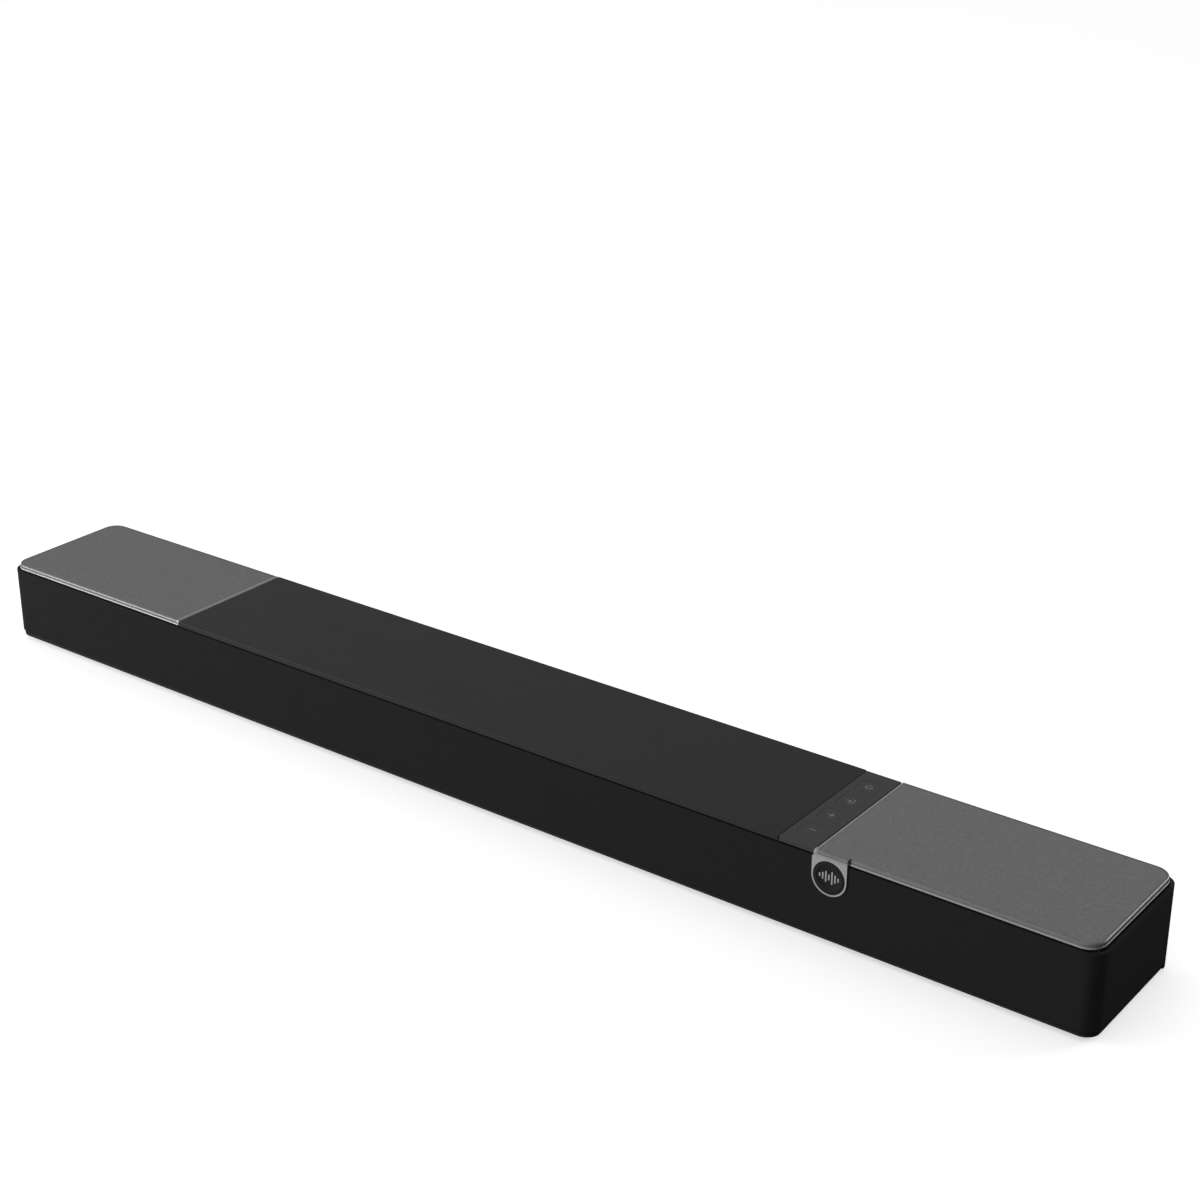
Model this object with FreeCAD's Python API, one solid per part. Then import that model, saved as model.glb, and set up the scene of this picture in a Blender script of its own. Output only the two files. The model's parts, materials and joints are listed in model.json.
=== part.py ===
import FreeCAD, Part
import math
import os

# Soundbar, in millimetres. +X is the right-hand end, -Y the front, +Z up.
# The origin is at the centre of the footprint, on the surface the feet stand on.

V = FreeCAD.Vector

# ---- Driving dimensions ----
LENGTH = 1118.0
DEPTH = 129.0
HEIGHT = 78.0
FOOT_HEIGHT = 4.5
CORNER_R = 13.0          # plan radius of the body's vertical corners
COVER_LENGTH = 227.0     # each grey end cover, along the bar
STRIP_WIDTH = 31.3       # control strip
SEAM = 0.4               # half of the gap between neighbouring top pieces
COVER_DROP = 4.6         # height of the covers' outer edge
SHADOW_GAP = 1.6         # dark gap between the covers and the cloth
COVER_INSET = 0.6        # covers stand this far inside the cloth, front and rear
COVER_END_INSET = 3.1    # and this far at the ends
RIM_WIDTH = 2.5          # rim round each mesh
RIM_ROUND = 1.6          # rounding of the rim's outer edge
LIP_HEIGHT = 1.5         # bead along the lower edge of the covers
LIP_OUT = 0.7            # how far the bead stands proud
LIP_ROUND = 0.65
PANEL_ROUND = 0.9
LID_PLATE = 3.0          # thickness of the centre panel
MESH_THICK = 1.1
MESH_SET_DOWN = 0.1      # mesh surface below the rim
CLOTH_THICK = 0.8
CLOTH_RAISE = 1.2        # groove between the base and the cloth
FRAME_THICK = 2.5        # grille frame and floor
WALL = 3.0               # baffle, rear panel and bulkheads
FLOOR_INSET = 1.2        # base edge stands inside the cloth
BADGE_THICK = 1.0
WINDOW_PITCH = 98.18     # ribs of the grille frame
RIB_WIDTH = 11.0
BUTTON_PITCH = 27.0
BUTTON_SIZE = 18.0
BUTTON_GAP = 0.2
BUTTON_R = 3.0
UPFIRE_X = 398.0
UPFIRE_Y = 4.0
UPFIRE_Z = 58.0
UPFIRE_TILT = 15.0       # degrees that the up-firing drivers lean forward
WOOFER_FLANGE_R = 30.5
UPFIRE_FLANGE_R = 38.0
WALL_MOUNT_SPACING = 800.0

# ---- Places worked out from them ----
END = LENGTH / 2
BACK = DEPTH / 2
FRONT = -DEPTH / 2 + BADGE_THICK          # outer face of the front cloth
BASE = FOOT_HEIGHT
TOP = HEIGHT
FLOOR_TOP = BASE + FRAME_THICK
SKIRT_Z = TOP - COVER_DROP
CLOTH_TOP = SKIRT_Z - SHADOW_GAP
CLOTH_LOW = FLOOR_TOP + CLOTH_RAISE
LID_Z = TOP - LID_PLATE                   # underside of every top piece
MESH_Z = TOP - MESH_SET_DOWN - MESH_THICK
COVER_X = END - COVER_LENGTH              # seam of each end cover
STRIP_X = COVER_X - STRIP_WIDTH           # seam between centre panel and strip
COVER_FRONT = FRONT + COVER_INSET
COVER_BACK = BACK - COVER_INSET
COVER_END = END - COVER_END_INSET
COVER_R = CORNER_R + 1.5
FRAME_FRONT = FRONT + CLOTH_THICK
CLOTH_BACK = 50.0                         # where the cloth ends on each side
BAFFLE_FRONT = FRONT + 8.5
BAFFLE_BACK = BAFFLE_FRONT + WALL
REAR_INNER = BACK - WALL
END_WALL = END - 10.0                     # inner face of the tray's end walls
END_WALL_BACK = 56.0
MID_Z = (FLOOR_TOP + LID_Z) / 2
BULKHEADS = (-COVER_X, -151.0, 151.0, COVER_X)
WOOFERS = {
    "left_woofer": -5 * WINDOW_PITCH,
    "centre_left_woofer": -WINDOW_PITCH,
    "centre_right_woofer": WINDOW_PITCH,
    "right_woofer": 5 * WINDOW_PITCH,
}
UPFIRES = {"left_upfire": -UPFIRE_X, "right_upfire": UPFIRE_X}
BUTTONS = {
    "power_button": 1.5 * BUTTON_PITCH,
    "source_button": 0.5 * BUTTON_PITCH,
    "volume_up_button": -0.5 * BUTTON_PITCH,
    "volume_down_button": -1.5 * BUTTON_PITCH,
}


# ---- Small makers ----
def block(x0, x1, y0, y1, z0, z1):
    return Part.makeBox(x1 - x0, y1 - y0, z1 - z0, V(x0, y0, z0))


def rod(radius, start, end):
    way = end - start
    return Part.makeCylinder(radius, way.Length, start, way)


def fuse(shapes):
    whole = shapes[0].multiFuse(shapes[1:]) if len(shapes) > 1 else shapes[0]
    return whole.removeSplitter()


def upright_edges(shape, ends):
    """Vertical edges at the left end, the right end or both."""
    box = shape.BoundBox
    wanted = []
    for edge in shape.Edges:
        first, last = edge.Vertexes[0].Point, edge.Vertexes[-1].Point
        if abs(first.z - last.z) < 1e-6 or abs(first.x - last.x) > 1e-6:
            continue
        side = "left" if first.x < box.Center.x else "right"
        if side in ends:
            wanted.append(edge)
    return wanted


def rounded(x0, x1, y0, y1, z0, z1, radius, ends=("left", "right")):
    """A slab with rounded vertical corners at the named ends."""
    slab = block(x0, x1, y0, y1, z0, z1)
    return slab.makeFillet(radius, upright_edges(slab, ends))


def round_top(shape, radius):
    """Round every edge of the top face."""
    top = shape.BoundBox.ZMax
    edges = [e for e in shape.Edges if e.BoundBox.ZMin > top - 1e-6]
    return shape.makeFillet(radius, edges)


def bead(shape, radius, seams):
    """Round a slab's upper and lower edges, but not the ones on its seam planes."""
    box = shape.BoundBox
    wanted = []
    for edge in shape.Edges:
        b = edge.BoundBox
        level = b.ZMin > box.ZMax - 1e-6 or b.ZMax < box.ZMin + 1e-6
        on_seam = any(abs(b.XMin - x) < 1e-6 and abs(b.XMax - x) < 1e-6 for x in seams)
        if level and not on_seam:
            wanted.append(edge)
    return shape.makeFillet(radius, wanted)


def turned(points):
    """A solid of revolution about Z from (radius, height) points."""
    corners = [V(r, 0, h) for r, h in points]
    face = Part.Face(Part.makePolygon(corners + [corners[0]]))
    return face.revolve(V(0, 0, 0), V(0, 0, 1), 360)


def turned_arc(lower, thick):
    """A revolved shell of even height along an arc through three points."""
    upper = [p + V(0, 0, thick) for p in lower]
    edges = [
        Part.Arc(*lower).toShape(),
        Part.LineSegment(lower[2], upper[2]).toShape(),
        Part.Arc(*reversed(upper)).toShape(),
        Part.LineSegment(upper[0], lower[0]).toShape(),
    ]
    return Part.Face(Part.Wire(edges)).revolve(V(0, 0, 0), V(0, 0, 1), 360)


def dome(radius, rise, crown, thick):
    """A spherical cap with its crown's underside at a height."""
    ball = (radius ** 2 + rise ** 2) / (2 * rise)
    half = radius / 2
    half_drop = ball - math.sqrt(ball ** 2 - half ** 2)
    return turned_arc([V(0, 0, crown), V(half, 0, crown - half_drop), V(radius, 0, crown - rise)], thick)


def half_roll(inner, outer, base, rise, thick):
    """The half-round roll of a surround."""
    mid = (inner + outer) / 2
    return turned_arc([V(inner, 0, base), V(mid, 0, base + rise), V(outer, 0, base)], thick)


def aimed(shape, place, tilt):
    """Move a shape made about +Z to a place, tipped forward about X."""
    moved = shape.copy()
    moved.Placement = FreeCAD.Placement(place, FreeCAD.Rotation(V(1, 0, 0), tilt))
    return moved


def screw(radius, length):
    """A pan-head screw with a cross recess, its head's seat at height 0."""
    head_r, head_h = radius * 1.9, radius * 1.2
    arm, slot, deep = radius * 1.1, radius * 0.35, radius * 0.7
    head = Part.makeCylinder(head_r, head_h)
    shank = Part.makeCylinder(radius, length, V(0, 0, -length))
    cross = block(-arm, arm, -slot / 2, slot / 2, head_h - deep, head_h)
    cross = cross.fuse(block(-slot / 2, slot / 2, -arm, arm, head_h - deep, head_h))
    return head.fuse(shank).cut(cross).removeSplitter()


def export(node, shape):
    if not shape.isValid():
        raise RuntimeError(node + " is not a valid shape")
    solids = shape.Solids
    if not solids:
        raise RuntimeError(node + " holds no solid")
    if len(solids) == 1:
        solids[0].exportStep("parts/" + node + ".step")
    else:
        Part.makeCompound(solids).exportStep("parts/" + node + ".step")
    print("%-24s %2d solids %10.1f mm3" % (node, len(solids), shape.Volume))


# ---- Cone drivers, made about +Z with the baffle's front at height 0 ----
# Sections are (radius, height) points of a woofer; an up-firing driver is a larger scale of it.
SCREW_CIRCLE = 28.7
DRIVER_SCREW_R = 1.25
DRIVER_SCREW_LONG = 8.0
DRIVER_HOLE_R = 25.5
DRIVER_HOLES = 4                          # screws, and windows of the basket
FLANGE_THICK = 2.0
BASKET_SECTION = [
    (24.0, 2.0), (30.5, 2.0), (30.5, 0.0), (25.2, 0.0), (25.2, -1.0), (17.5, -15.0),
    (17.5, -17.0), (8.5, -17.0), (8.5, -15.5), (16.0, -15.5), (23.8, -1.0),
]
BASKET_WINDOW_HALF, BASKET_WINDOW_OUT = 7.0, 40.0
BASKET_WINDOW_Z = (-13.5, -3.5)
MAGNET_SECTION = [
    (7.5, -17.0), (16.0, -17.0), (16.0, -30.0), (0.0, -30.0), (0.0, -17.5),
    (6.1, -17.5), (6.1, -27.0), (7.5, -27.0),
]
CONE_SECTION = [
    (20.0, 1.6), (20.0, 0.9), (7.1, -8.6), (7.1, -20.0), (6.4, -20.0), (6.4, -8.1), (19.4, 1.6),
]
CAP_R, CAP_RISE, CAP_CROWN, CAP_THICK = 10.2, 3.4, -2.4, 0.6
ROLL_IN, ROLL_OUT, ROLL_RISE, ROLL_THICK = 20.4, 24.6, 1.9, 0.5
ROLL_RIM_SECTION = [(24.5, 2.0), (26.3, 2.0), (26.3, 2.6), (24.5, 2.6)]
SPIDER_SECTION = [
    (7.6, -14.9), (14.8, -14.9), (14.8, -15.5), (15.8, -15.5), (15.8, -14.3), (7.6, -14.3),
]


def scale_of(flange_r):
    return flange_r / WOOFER_FLANGE_R


def scaled(points, k):
    return [(r * k, h * k) for r, h in points]


def driver_frame(k):
    basket = turned(scaled(BASKET_SECTION, k))
    half, low, high = BASKET_WINDOW_HALF * k, BASKET_WINDOW_Z[0] * k, BASKET_WINDOW_Z[1] * k
    window = block(-half, half, 0, BASKET_WINDOW_OUT * k, low, high)
    for turn in range(DRIVER_HOLES):
        cut = window.copy()
        cut.rotate(V(0, 0, 0), V(0, 0, 1), turn * 360 / DRIVER_HOLES)
        basket = basket.cut(cut)
    return basket.cut(screw_holes(k, DRIVER_SCREW_R + 0.15))


def screw_places(k):
    spots = []
    for turn in range(DRIVER_HOLES):
        angle = 2 * math.pi * (turn + 0.5) / DRIVER_HOLES
        spots.append(V(SCREW_CIRCLE * k * math.cos(angle), SCREW_CIRCLE * k * math.sin(angle), 0))
    return spots


def screw_holes(k, radius):
    down, up = V(0, 0, -12), V(0, 0, 6)
    return fuse([rod(radius, spot + down, spot + up) for spot in screw_places(k)])


def driver_screws(k):
    seat = V(0, 0, FLANGE_THICK * k)
    made = []
    for spot in screw_places(k):
        one = screw(DRIVER_SCREW_R, DRIVER_SCREW_LONG)
        one.translate(spot + seat)
        made.append(one)
    return made


def driver_magnet(k):
    return turned(scaled(MAGNET_SECTION, k))


def driver_cone(k):
    """Cone, dust cap and coil former, bonded together as one piece."""
    cap = dome(CAP_R * k, CAP_RISE * k, CAP_CROWN * k, CAP_THICK * k)
    return turned(scaled(CONE_SECTION, k)).fuse(cap).removeSplitter()


def driver_surround(k):
    roll = half_roll(ROLL_IN * k, ROLL_OUT * k, FLANGE_THICK * k, ROLL_RISE * k, ROLL_THICK * k)
    return roll.fuse(turned(scaled(ROLL_RIM_SECTION, k))).removeSplitter()


def driver_spider(k):
    return turned(scaled(SPIDER_SECTION, k))


# ---- Cabinet ----
CASE_SCREW_R = 1.5
CASE_SCREW_LONG = 11.0
CASE_SCREW_SINK = 1.8                     # depth of the counterbore for its head
BOSS_R, BOSS_LONG = 4.0, 13.0
CLEAR = 0.1                               # round screws in their pilot holes
CASE_SCREW_X = (545.5, 327.5, 155.5)
CASE_SCREW_Z = (20.0, 66.0)
IO_HALF, IO_Z0, IO_Z1, IO_FLOOR = 90.0, 14.0, 52.0, 36.0
MAINS_X, MAINS_HALF = -240.0, 24.0
MAINS_Z0, MAINS_Z1, MAINS_FLOOR = 22.0, 52.0, 42.0
POCKET_WALL = 2.0
BOARD_Z = 12.0
MAIN_BOARD_Z = 24.0
BOARD_THICK = 1.6
POST_R = 3.0
STRIP_POST_R = 2.5
BOARD_SCREW_R = 1.2
BOARD_SCREW_LONG = 5.5
PILOT_DEEP = 7.0
BOARD_PILOT_DEEP = 4.5
MAIN_POSTS = [V(x, y, 0) for x in (-74.0, 74.0) for y in (2.0, 26.0)]
AMP_POSTS = [V(x, y, 0) for x in (170.0, 310.0) for y in (-25.0, 40.0)]
POWER_POSTS = [V(-x, y, 0) for x in (170.0, 310.0) for y in (-25.0, 30.0)]
LOOM_Y, LOOM_Z, LOOM_R = 56.5, 9.6, 1.8
LOOM_HOLE = 5.5
LOOM_END = 512.0
LOOM_BRANCHES = ((-346.0, -30.0), (346.0, -30.0), (-120.0, -40.0), (120.0, -40.0))
LOOM_END_Y = 52.0
UPFIRE_BOX_HALF = 44.0
UPFIRE_BOX_Y = (-40.0, 51.0)
INSERT_Z = 41.0
INSERT_R, INSERT_BORE, INSERT_LONG = 4.0, 2.1, 12.0
INSERT_COLLAR = 2.0
VENT_COUNT, VENT_X, VENT_PITCH, VENT_HALF = 18, 172.0, 7.0, 1.3
VENT_Z = (26.0, 56.0)


def case_screw_places():
    spots = [(x * side, z) for x in CASE_SCREW_X for side in (-1, 1) for z in CASE_SCREW_Z]
    return [V(x, REAR_INNER, z) for x, z in spots]


def base_tray():
    walls = [block(x - WALL / 2, x + WALL / 2, BAFFLE_BACK, REAR_INNER, FLOOR_TOP, LID_Z)
             for x in BULKHEADS]
    for side in (-1, 1):
        x0, x1 = sorted((side * END_WALL, side * (END_WALL + WALL)))
        walls.append(block(x0, x1, BAFFLE_BACK, END_WALL_BACK, FLOOR_TOP, LID_Z))
    bosses = [rod(BOSS_R, p - V(0, BOSS_LONG, 0), p) for p in case_screw_places()]
    posts = [rod(POST_R, p + V(0, 0, FLOOR_TOP), p + V(0, 0, BOARD_Z))
             for p in AMP_POSTS + POWER_POSTS]
    posts += [rod(POST_R, p + V(0, 0, FLOOR_TOP), p + V(0, 0, MAIN_BOARD_Z)) for p in MAIN_POSTS]
    tray = fuse(floor_halves() + walls + bosses + posts)
    holes = [rod(CASE_SCREW_R + CLEAR, p - V(0, BOSS_LONG - 1, 0), p + V(0, 1, 0))
             for p in case_screw_places()]
    holes += [rod(BOARD_SCREW_R + CLEAR, p + V(0, 0, BOARD_Z - BOARD_PILOT_DEEP),
                  p + V(0, 0, BOARD_Z + 1)) for p in AMP_POSTS + POWER_POSTS]
    holes += [rod(BOARD_SCREW_R + CLEAR, p + V(0, 0, MAIN_BOARD_Z - PILOT_DEEP),
                  p + V(0, 0, MAIN_BOARD_Z + 1)) for p in MAIN_POSTS]
    holes += [block(x - WALL, x + WALL, LOOM_Y - 4, REAR_INNER, FLOOR_TOP, FLOOR_TOP + LOOM_HOLE)
              for x in BULKHEADS]
    return tray.cut(fuse(holes)).cut(rear_shell())


def floor_halves():
    """The floor's front half stands inside the cloth, and its rear half inside the panel."""
    inset = FLOOR_INSET
    front = rounded(-END + inset, END - inset, FRONT + inset, BACK, BASE, FLOOR_TOP,
                    CORNER_R - inset)
    rear = rounded(-END + WALL, END - WALL, FRONT, REAR_INNER, BASE, FLOOR_TOP, CORNER_R - WALL)
    split = block(-END, END, FRONT, CLOTH_BACK, BASE, FLOOR_TOP)
    return [front.common(split), rear.cut(split)]


def rear_shell():
    outer = rounded(-END, END, FRONT, BACK, BASE, CLOTH_TOP + 0.4, CORNER_R)
    inner = rounded(-END + WALL, END - WALL, FRONT - WALL, REAR_INNER, BASE - 1, TOP,
                    CORNER_R - WALL)
    front_part = block(-END - 1, END + 1, FRONT - 1, CLOTH_BACK + 0.4, BASE - 1, TOP)
    return outer.cut(inner).cut(front_part)


def pocket(x0, x1, z0, z1, floor_y):
    """Walls and floor of a recess, and the hollow to cut."""
    w = POCKET_WALL
    walls = block(x0 - w, x1 + w, floor_y - w, REAR_INNER, z0 - w, z1 + w)
    hollow = block(x0, x1, floor_y, BACK + 1, z0, z1)
    return walls, hollow


def rear_panel():
    io_walls, io_hollow = pocket(-IO_HALF, IO_HALF, IO_Z0, IO_Z1, IO_FLOOR)
    mains_walls, mains_hollow = pocket(MAINS_X - MAINS_HALF, MAINS_X + MAINS_HALF,
                                       MAINS_Z0, MAINS_Z1, MAINS_FLOOR)
    panel = fuse([rear_shell(), io_walls, mains_walls])
    cuts = [io_hollow, mains_hollow] + socket_cutouts() + vent_slots()
    cuts += [rod(CASE_SCREW_R + 2 * CLEAR, p - V(0, 1, 0), p + V(0, WALL + 1, 0))
             for p in case_screw_places()]
    cuts += [rod(CASE_SCREW_R * 2.2, p + V(0, WALL - CASE_SCREW_SINK, 0), p + V(0, WALL + 1, 0))
             for p in case_screw_places()]
    cuts += [rod(INSERT_R, V(side * WALL_MOUNT_SPACING / 2, REAR_INNER - 1, INSERT_Z),
                 V(side * WALL_MOUNT_SPACING / 2, BACK + 1, INSERT_Z)) for side in (-1, 1)]
    return panel.cut(fuse(cuts))


def vent_slots():
    slots = []
    for number in range(VENT_COUNT):
        x = VENT_X + VENT_PITCH * number
        slots.append(block(x - VENT_HALF, x + VENT_HALF, REAR_INNER - 1, BACK + 1, *VENT_Z))
    return slots


def case_screws():
    made = []
    for spot in case_screw_places():
        seat = spot + V(0, WALL - CASE_SCREW_SINK, 0)
        made.append(aimed(screw(CASE_SCREW_R, CASE_SCREW_LONG), seat, -90))
    return Part.makeCompound(made)


def front_baffle():
    plate = block(-END_WALL - WALL, END_WALL + WALL, BAFFLE_FRONT, BAFFLE_BACK, FLOOR_TOP, LID_Z)
    cuts = []
    for x in WOOFERS.values():
        cuts.append(rod(DRIVER_HOLE_R, V(x, BAFFLE_FRONT - 1, MID_Z), V(x, BAFFLE_BACK + 1, MID_Z)))
        cuts.append(aimed(screw_holes(1, DRIVER_SCREW_R + CLEAR / 2), V(x, BAFFLE_FRONT, MID_Z), 90))
    half, tall = HORN_HALF - HORN_LAP, HORN_TALL - HORN_LAP
    cuts.append(block(-half, half, BAFFLE_FRONT - 1, BAFFLE_BACK + 1, MID_Z - tall, MID_Z + tall))
    cuts += [rod(DRIVER_SCREW_R + CLEAR / 2, p - V(0, 9, 0), p + V(0, 9, 0))
             for p in horn_screw_places()]
    cuts += [rod(PEG_R + CLEAR, V(x, BAFFLE_FRONT - 1, z), V(x, BAFFLE_BACK + 1, z))
             for x, z in peg_places()]
    return plate.cut(fuse(cuts))


# ---- Grille ----
PEG_R = 2.0
PEG_Z = (10.4, 69.0)
PEG_RIBS = (1, 3, 8, 10)
RIBS_EACH_SIDE = 6
BADGE_RIB = 9                             # the rib behind the badge
BADGE_STUD_Z = (52.0, 64.0)
WINDOW_Z0, WINDOW_Z1 = 14.5, 66.0
REBATE_DEEP, REBATE_TALL = 1.2, 1.0       # where the cloth's lower edge tucks in


def band(outset_in, outset_out, z0, z1):
    """A U-shaped band round the front and ends, between two insets from the cloth."""
    outer = rounded(-END + outset_in, END - outset_in, FRONT + outset_in, BACK, z0, z1,
                    CORNER_R - outset_in)
    inner = rounded(-END + outset_out, END - outset_out, FRONT + outset_out, BACK + 40, z0, z1,
                    CORNER_R - outset_out)
    rear = block(-END - 1, END + 1, CLOTH_BACK, BACK + 60, z0, z1)
    return outer.cut(inner).cut(rear)


def rib_places():
    return [(number + 0.5) * WINDOW_PITCH for number in range(-RIBS_EACH_SIDE, RIBS_EACH_SIDE)]


def peg_places():
    ribs = rib_places()
    return [(ribs[number], z) for number in PEG_RIBS for z in PEG_Z]


def badge_stud_places():
    return [(rib_places()[BADGE_RIB], z) for z in BADGE_STUD_Z]


def stud_holes(radius):
    return [rod(radius, V(x, FRONT - 2, z), V(x, FRAME_FRONT + FRAME_THICK + 1, z))
            for x, z in badge_stud_places()]


def grille_cloth():
    cloth = band(0, CLOTH_THICK, CLOTH_LOW, CLOTH_TOP)
    return cloth.cut(fuse(stud_holes(BADGE_STUD_R + CLEAR)))


def grille_frame():
    inner = CLOTH_THICK + FRAME_THICK
    frame = fuse([band(CLOTH_THICK, inner, CLOTH_LOW + REBATE_TALL, CLOTH_TOP),
                  band(CLOTH_THICK + REBATE_DEEP, inner, FLOOR_TOP, CLOTH_LOW + REBATE_TALL)])
    ribs = rib_places()
    windows = [block(a + RIB_WIDTH / 2, b - RIB_WIDTH / 2, FRONT - 1, FRAME_FRONT + FRAME_THICK + 1,
                     WINDOW_Z0, WINDOW_Z1) for a, b in zip(ribs[:-1], ribs[1:])]
    pegs = [rod(PEG_R, V(x, FRAME_FRONT + 1, z), V(x, BAFFLE_BACK - 0.5, z)) for x, z in peg_places()]
    frame = frame.cut(fuse(windows)).cut(fuse(stud_holes(BADGE_STUD_R + CLEAR)))
    return fuse([frame] + pegs)


# ---- Badge ----
BADGE_X0 = COVER_X - 0.8
BADGE_WIDTH = 29.6
BADGE_DISC_R = 13.4
BADGE_STUD_R = 1.2
TONGUE_DROP = 5.0        # height of the cover's fold above the badge
BADGE_R = BADGE_WIDTH / 2
BADGE_X = BADGE_X0 + BADGE_R
BADGE_Z = 58.4
BADGE_TOP = TOP - TONGUE_DROP
BADGE_POCKET = 0.6
BADGE_DISC_THICK = 0.4
SLIT = 1.6               # gap beside the fold
FOLD_ROUND = 2.2


def badge_tab():
    face = FRONT - BADGE_THICK
    tab = block(BADGE_X - BADGE_R, BADGE_X + BADGE_R, face, FRONT, BADGE_Z, BADGE_TOP)
    round_end = rod(BADGE_R, V(BADGE_X, face, BADGE_Z), V(BADGE_X, FRONT, BADGE_Z))
    above = block(COVER_X - 5, END, face - 1, FRONT + 1, BADGE_Z, TOP)
    tab = tab.fuse(round_end.cut(above))
    tab = tab.cut(rod(BADGE_DISC_R + CLEAR, V(BADGE_X, face - 1, BADGE_Z),
                      V(BADGE_X, face + BADGE_POCKET, BADGE_Z)))
    studs = [rod(BADGE_STUD_R, V(x, FRONT - 0.2, z), V(x, FRAME_FRONT + FRAME_THICK, z))
             for x, z in badge_stud_places()]
    return fuse([tab] + studs)


def badge_disc():
    back = FRONT - BADGE_THICK + BADGE_POCKET
    return rod(BADGE_DISC_R, V(BADGE_X, back - BADGE_DISC_THICK, BADGE_Z), V(BADGE_X, back, BADGE_Z))


# ---- Top pieces ----
SKIRT_THICK = 2.4
CAVITY_R = COVER_R - SKIRT_THICK - 2.5    # plan radius of the hollow under a cover
MESH_GAP = 0.1
SOUND_SLOT, SOUND_BAR = 5.0, 2.0
SOUND_R = 33.0


def top_panel():
    x0, x1 = -COVER_X + SEAM, STRIP_X - SEAM
    panel = round_top(block(x0, x1, COVER_FRONT, COVER_BACK, SKIRT_Z, TOP), PANEL_ROUND)
    hollow = block(x0 - 1, x1 + 1, COVER_FRONT + SKIRT_THICK, COVER_BACK - SKIRT_THICK,
                   SKIRT_Z - 1, LID_Z)
    return panel.cut(hollow)


def sound_slots(x):
    """Parallel slots inside a circle over an up-firing driver."""
    disc = rod(SOUND_R, V(x, UPFIRE_Y, LID_Z - 1), V(x, UPFIRE_Y, TOP))
    pitch = SOUND_SLOT + SOUND_BAR
    count = int(SOUND_R // pitch)
    slots = [block(x + n * pitch - SOUND_SLOT / 2, x + n * pitch + SOUND_SLOT / 2,
                   UPFIRE_Y - SOUND_R, UPFIRE_Y + SOUND_R, LID_Z - 1, TOP)
             for n in range(-count, count + 1)]
    return fuse(slots).common(disc)


def cover_outline(inset, z0, z1, seam_inset=0.0, rear_inset=None):
    """The right cover's plan shape, shrunk by an inset from its outer edges."""
    back = COVER_BACK - (inset if rear_inset is None else rear_inset)
    return rounded(COVER_X + SEAM + seam_inset, COVER_END - inset, COVER_FRONT + inset, back,
                   z0, z1, COVER_R - inset, ("right",))


def plain_cover():
    """The right-hand cover without the fold for the badge."""
    upper = round_top(cover_outline(LIP_OUT, SKIRT_Z, TOP, rear_inset=0.0), RIM_ROUND)
    lip = bead(cover_outline(0, SKIRT_Z, SKIRT_Z + LIP_HEIGHT), LIP_ROUND, [COVER_X + SEAM])
    cover = upper.fuse(lip).cut(cover_outline(RIM_WIDTH, MESH_Z, TOP + 1, RIM_WIDTH))
    below = rounded(COVER_X - 5, COVER_END - SKIRT_THICK, COVER_FRONT + SKIRT_THICK,
                    COVER_BACK - SKIRT_THICK, SKIRT_Z - 1, LID_Z, CAVITY_R, ("right",))
    return cover.cut(below).cut(sound_slots(UPFIRE_X))


def mesh():
    inset = RIM_WIDTH + MESH_GAP
    return cover_outline(inset, MESH_Z, MESH_Z + MESH_THICK, inset)


def badge_fold():
    """The part of the right cover's edge that folds down over the badge."""
    return rounded_edge_block(COVER_X + SEAM, BADGE_X + BADGE_R, FRONT - BADGE_THICK,
                              COVER_FRONT + SKIRT_THICK, BADGE_TOP, TOP, FOLD_ROUND)


def rounded_edge_block(x0, x1, y0, y1, z0, z1, radius):
    """A block whose top front edge is rounded."""
    slab = block(x0, x1, y0, y1, z0, z1)
    front = [e for e in slab.Edges
             if e.BoundBox.YMax < y0 + 1e-6 and e.BoundBox.ZMin > z1 - 1e-6]
    return slab.makeFillet(radius, front)


def right_cover():
    slit_x = BADGE_X + BADGE_R
    slit = block(slit_x, slit_x + SLIT, FRONT - 2, COVER_FRONT + SKIRT_THICK, SKIRT_Z - 1, TOP + 1)
    return fuse([plain_cover().cut(slit), badge_fold()])


def mirrored(shape):
    return shape.mirror(V(0, 0, 0), V(1, 0, 0))


# ---- Controls ----
STRIP_SET_DOWN = 0.3
STRIP_ROUND = 0.5
STRIP_MID = (STRIP_X + COVER_X) / 2
KEY_LIP = 1.0
BUTTON_BOARD_Z = 66.0
STRIP_POST_X = 9.5
STRIP_POSTS = [V(STRIP_MID + dx, dy, 0) for dx in (-STRIP_POST_X, STRIP_POST_X)
               for dy in (-BUTTON_PITCH, BUTTON_PITCH)]
KEY_EDGE = 0.25
KEY_STEM_R, KEY_STEM_Z = 2.0, 72.0
KEY_FLANGE_Z = (LID_Z - 1.2, LID_Z - 0.1)
BUTTON_BOARD_HALF, BUTTON_BOARD_Y = 12.5, (-49.0, 46.0)
SWITCH_HALF, SWITCH_TALL = 3.0, 2.6
PLUNGER_R, PLUNGER_TALL = 1.6, 3.4


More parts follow.
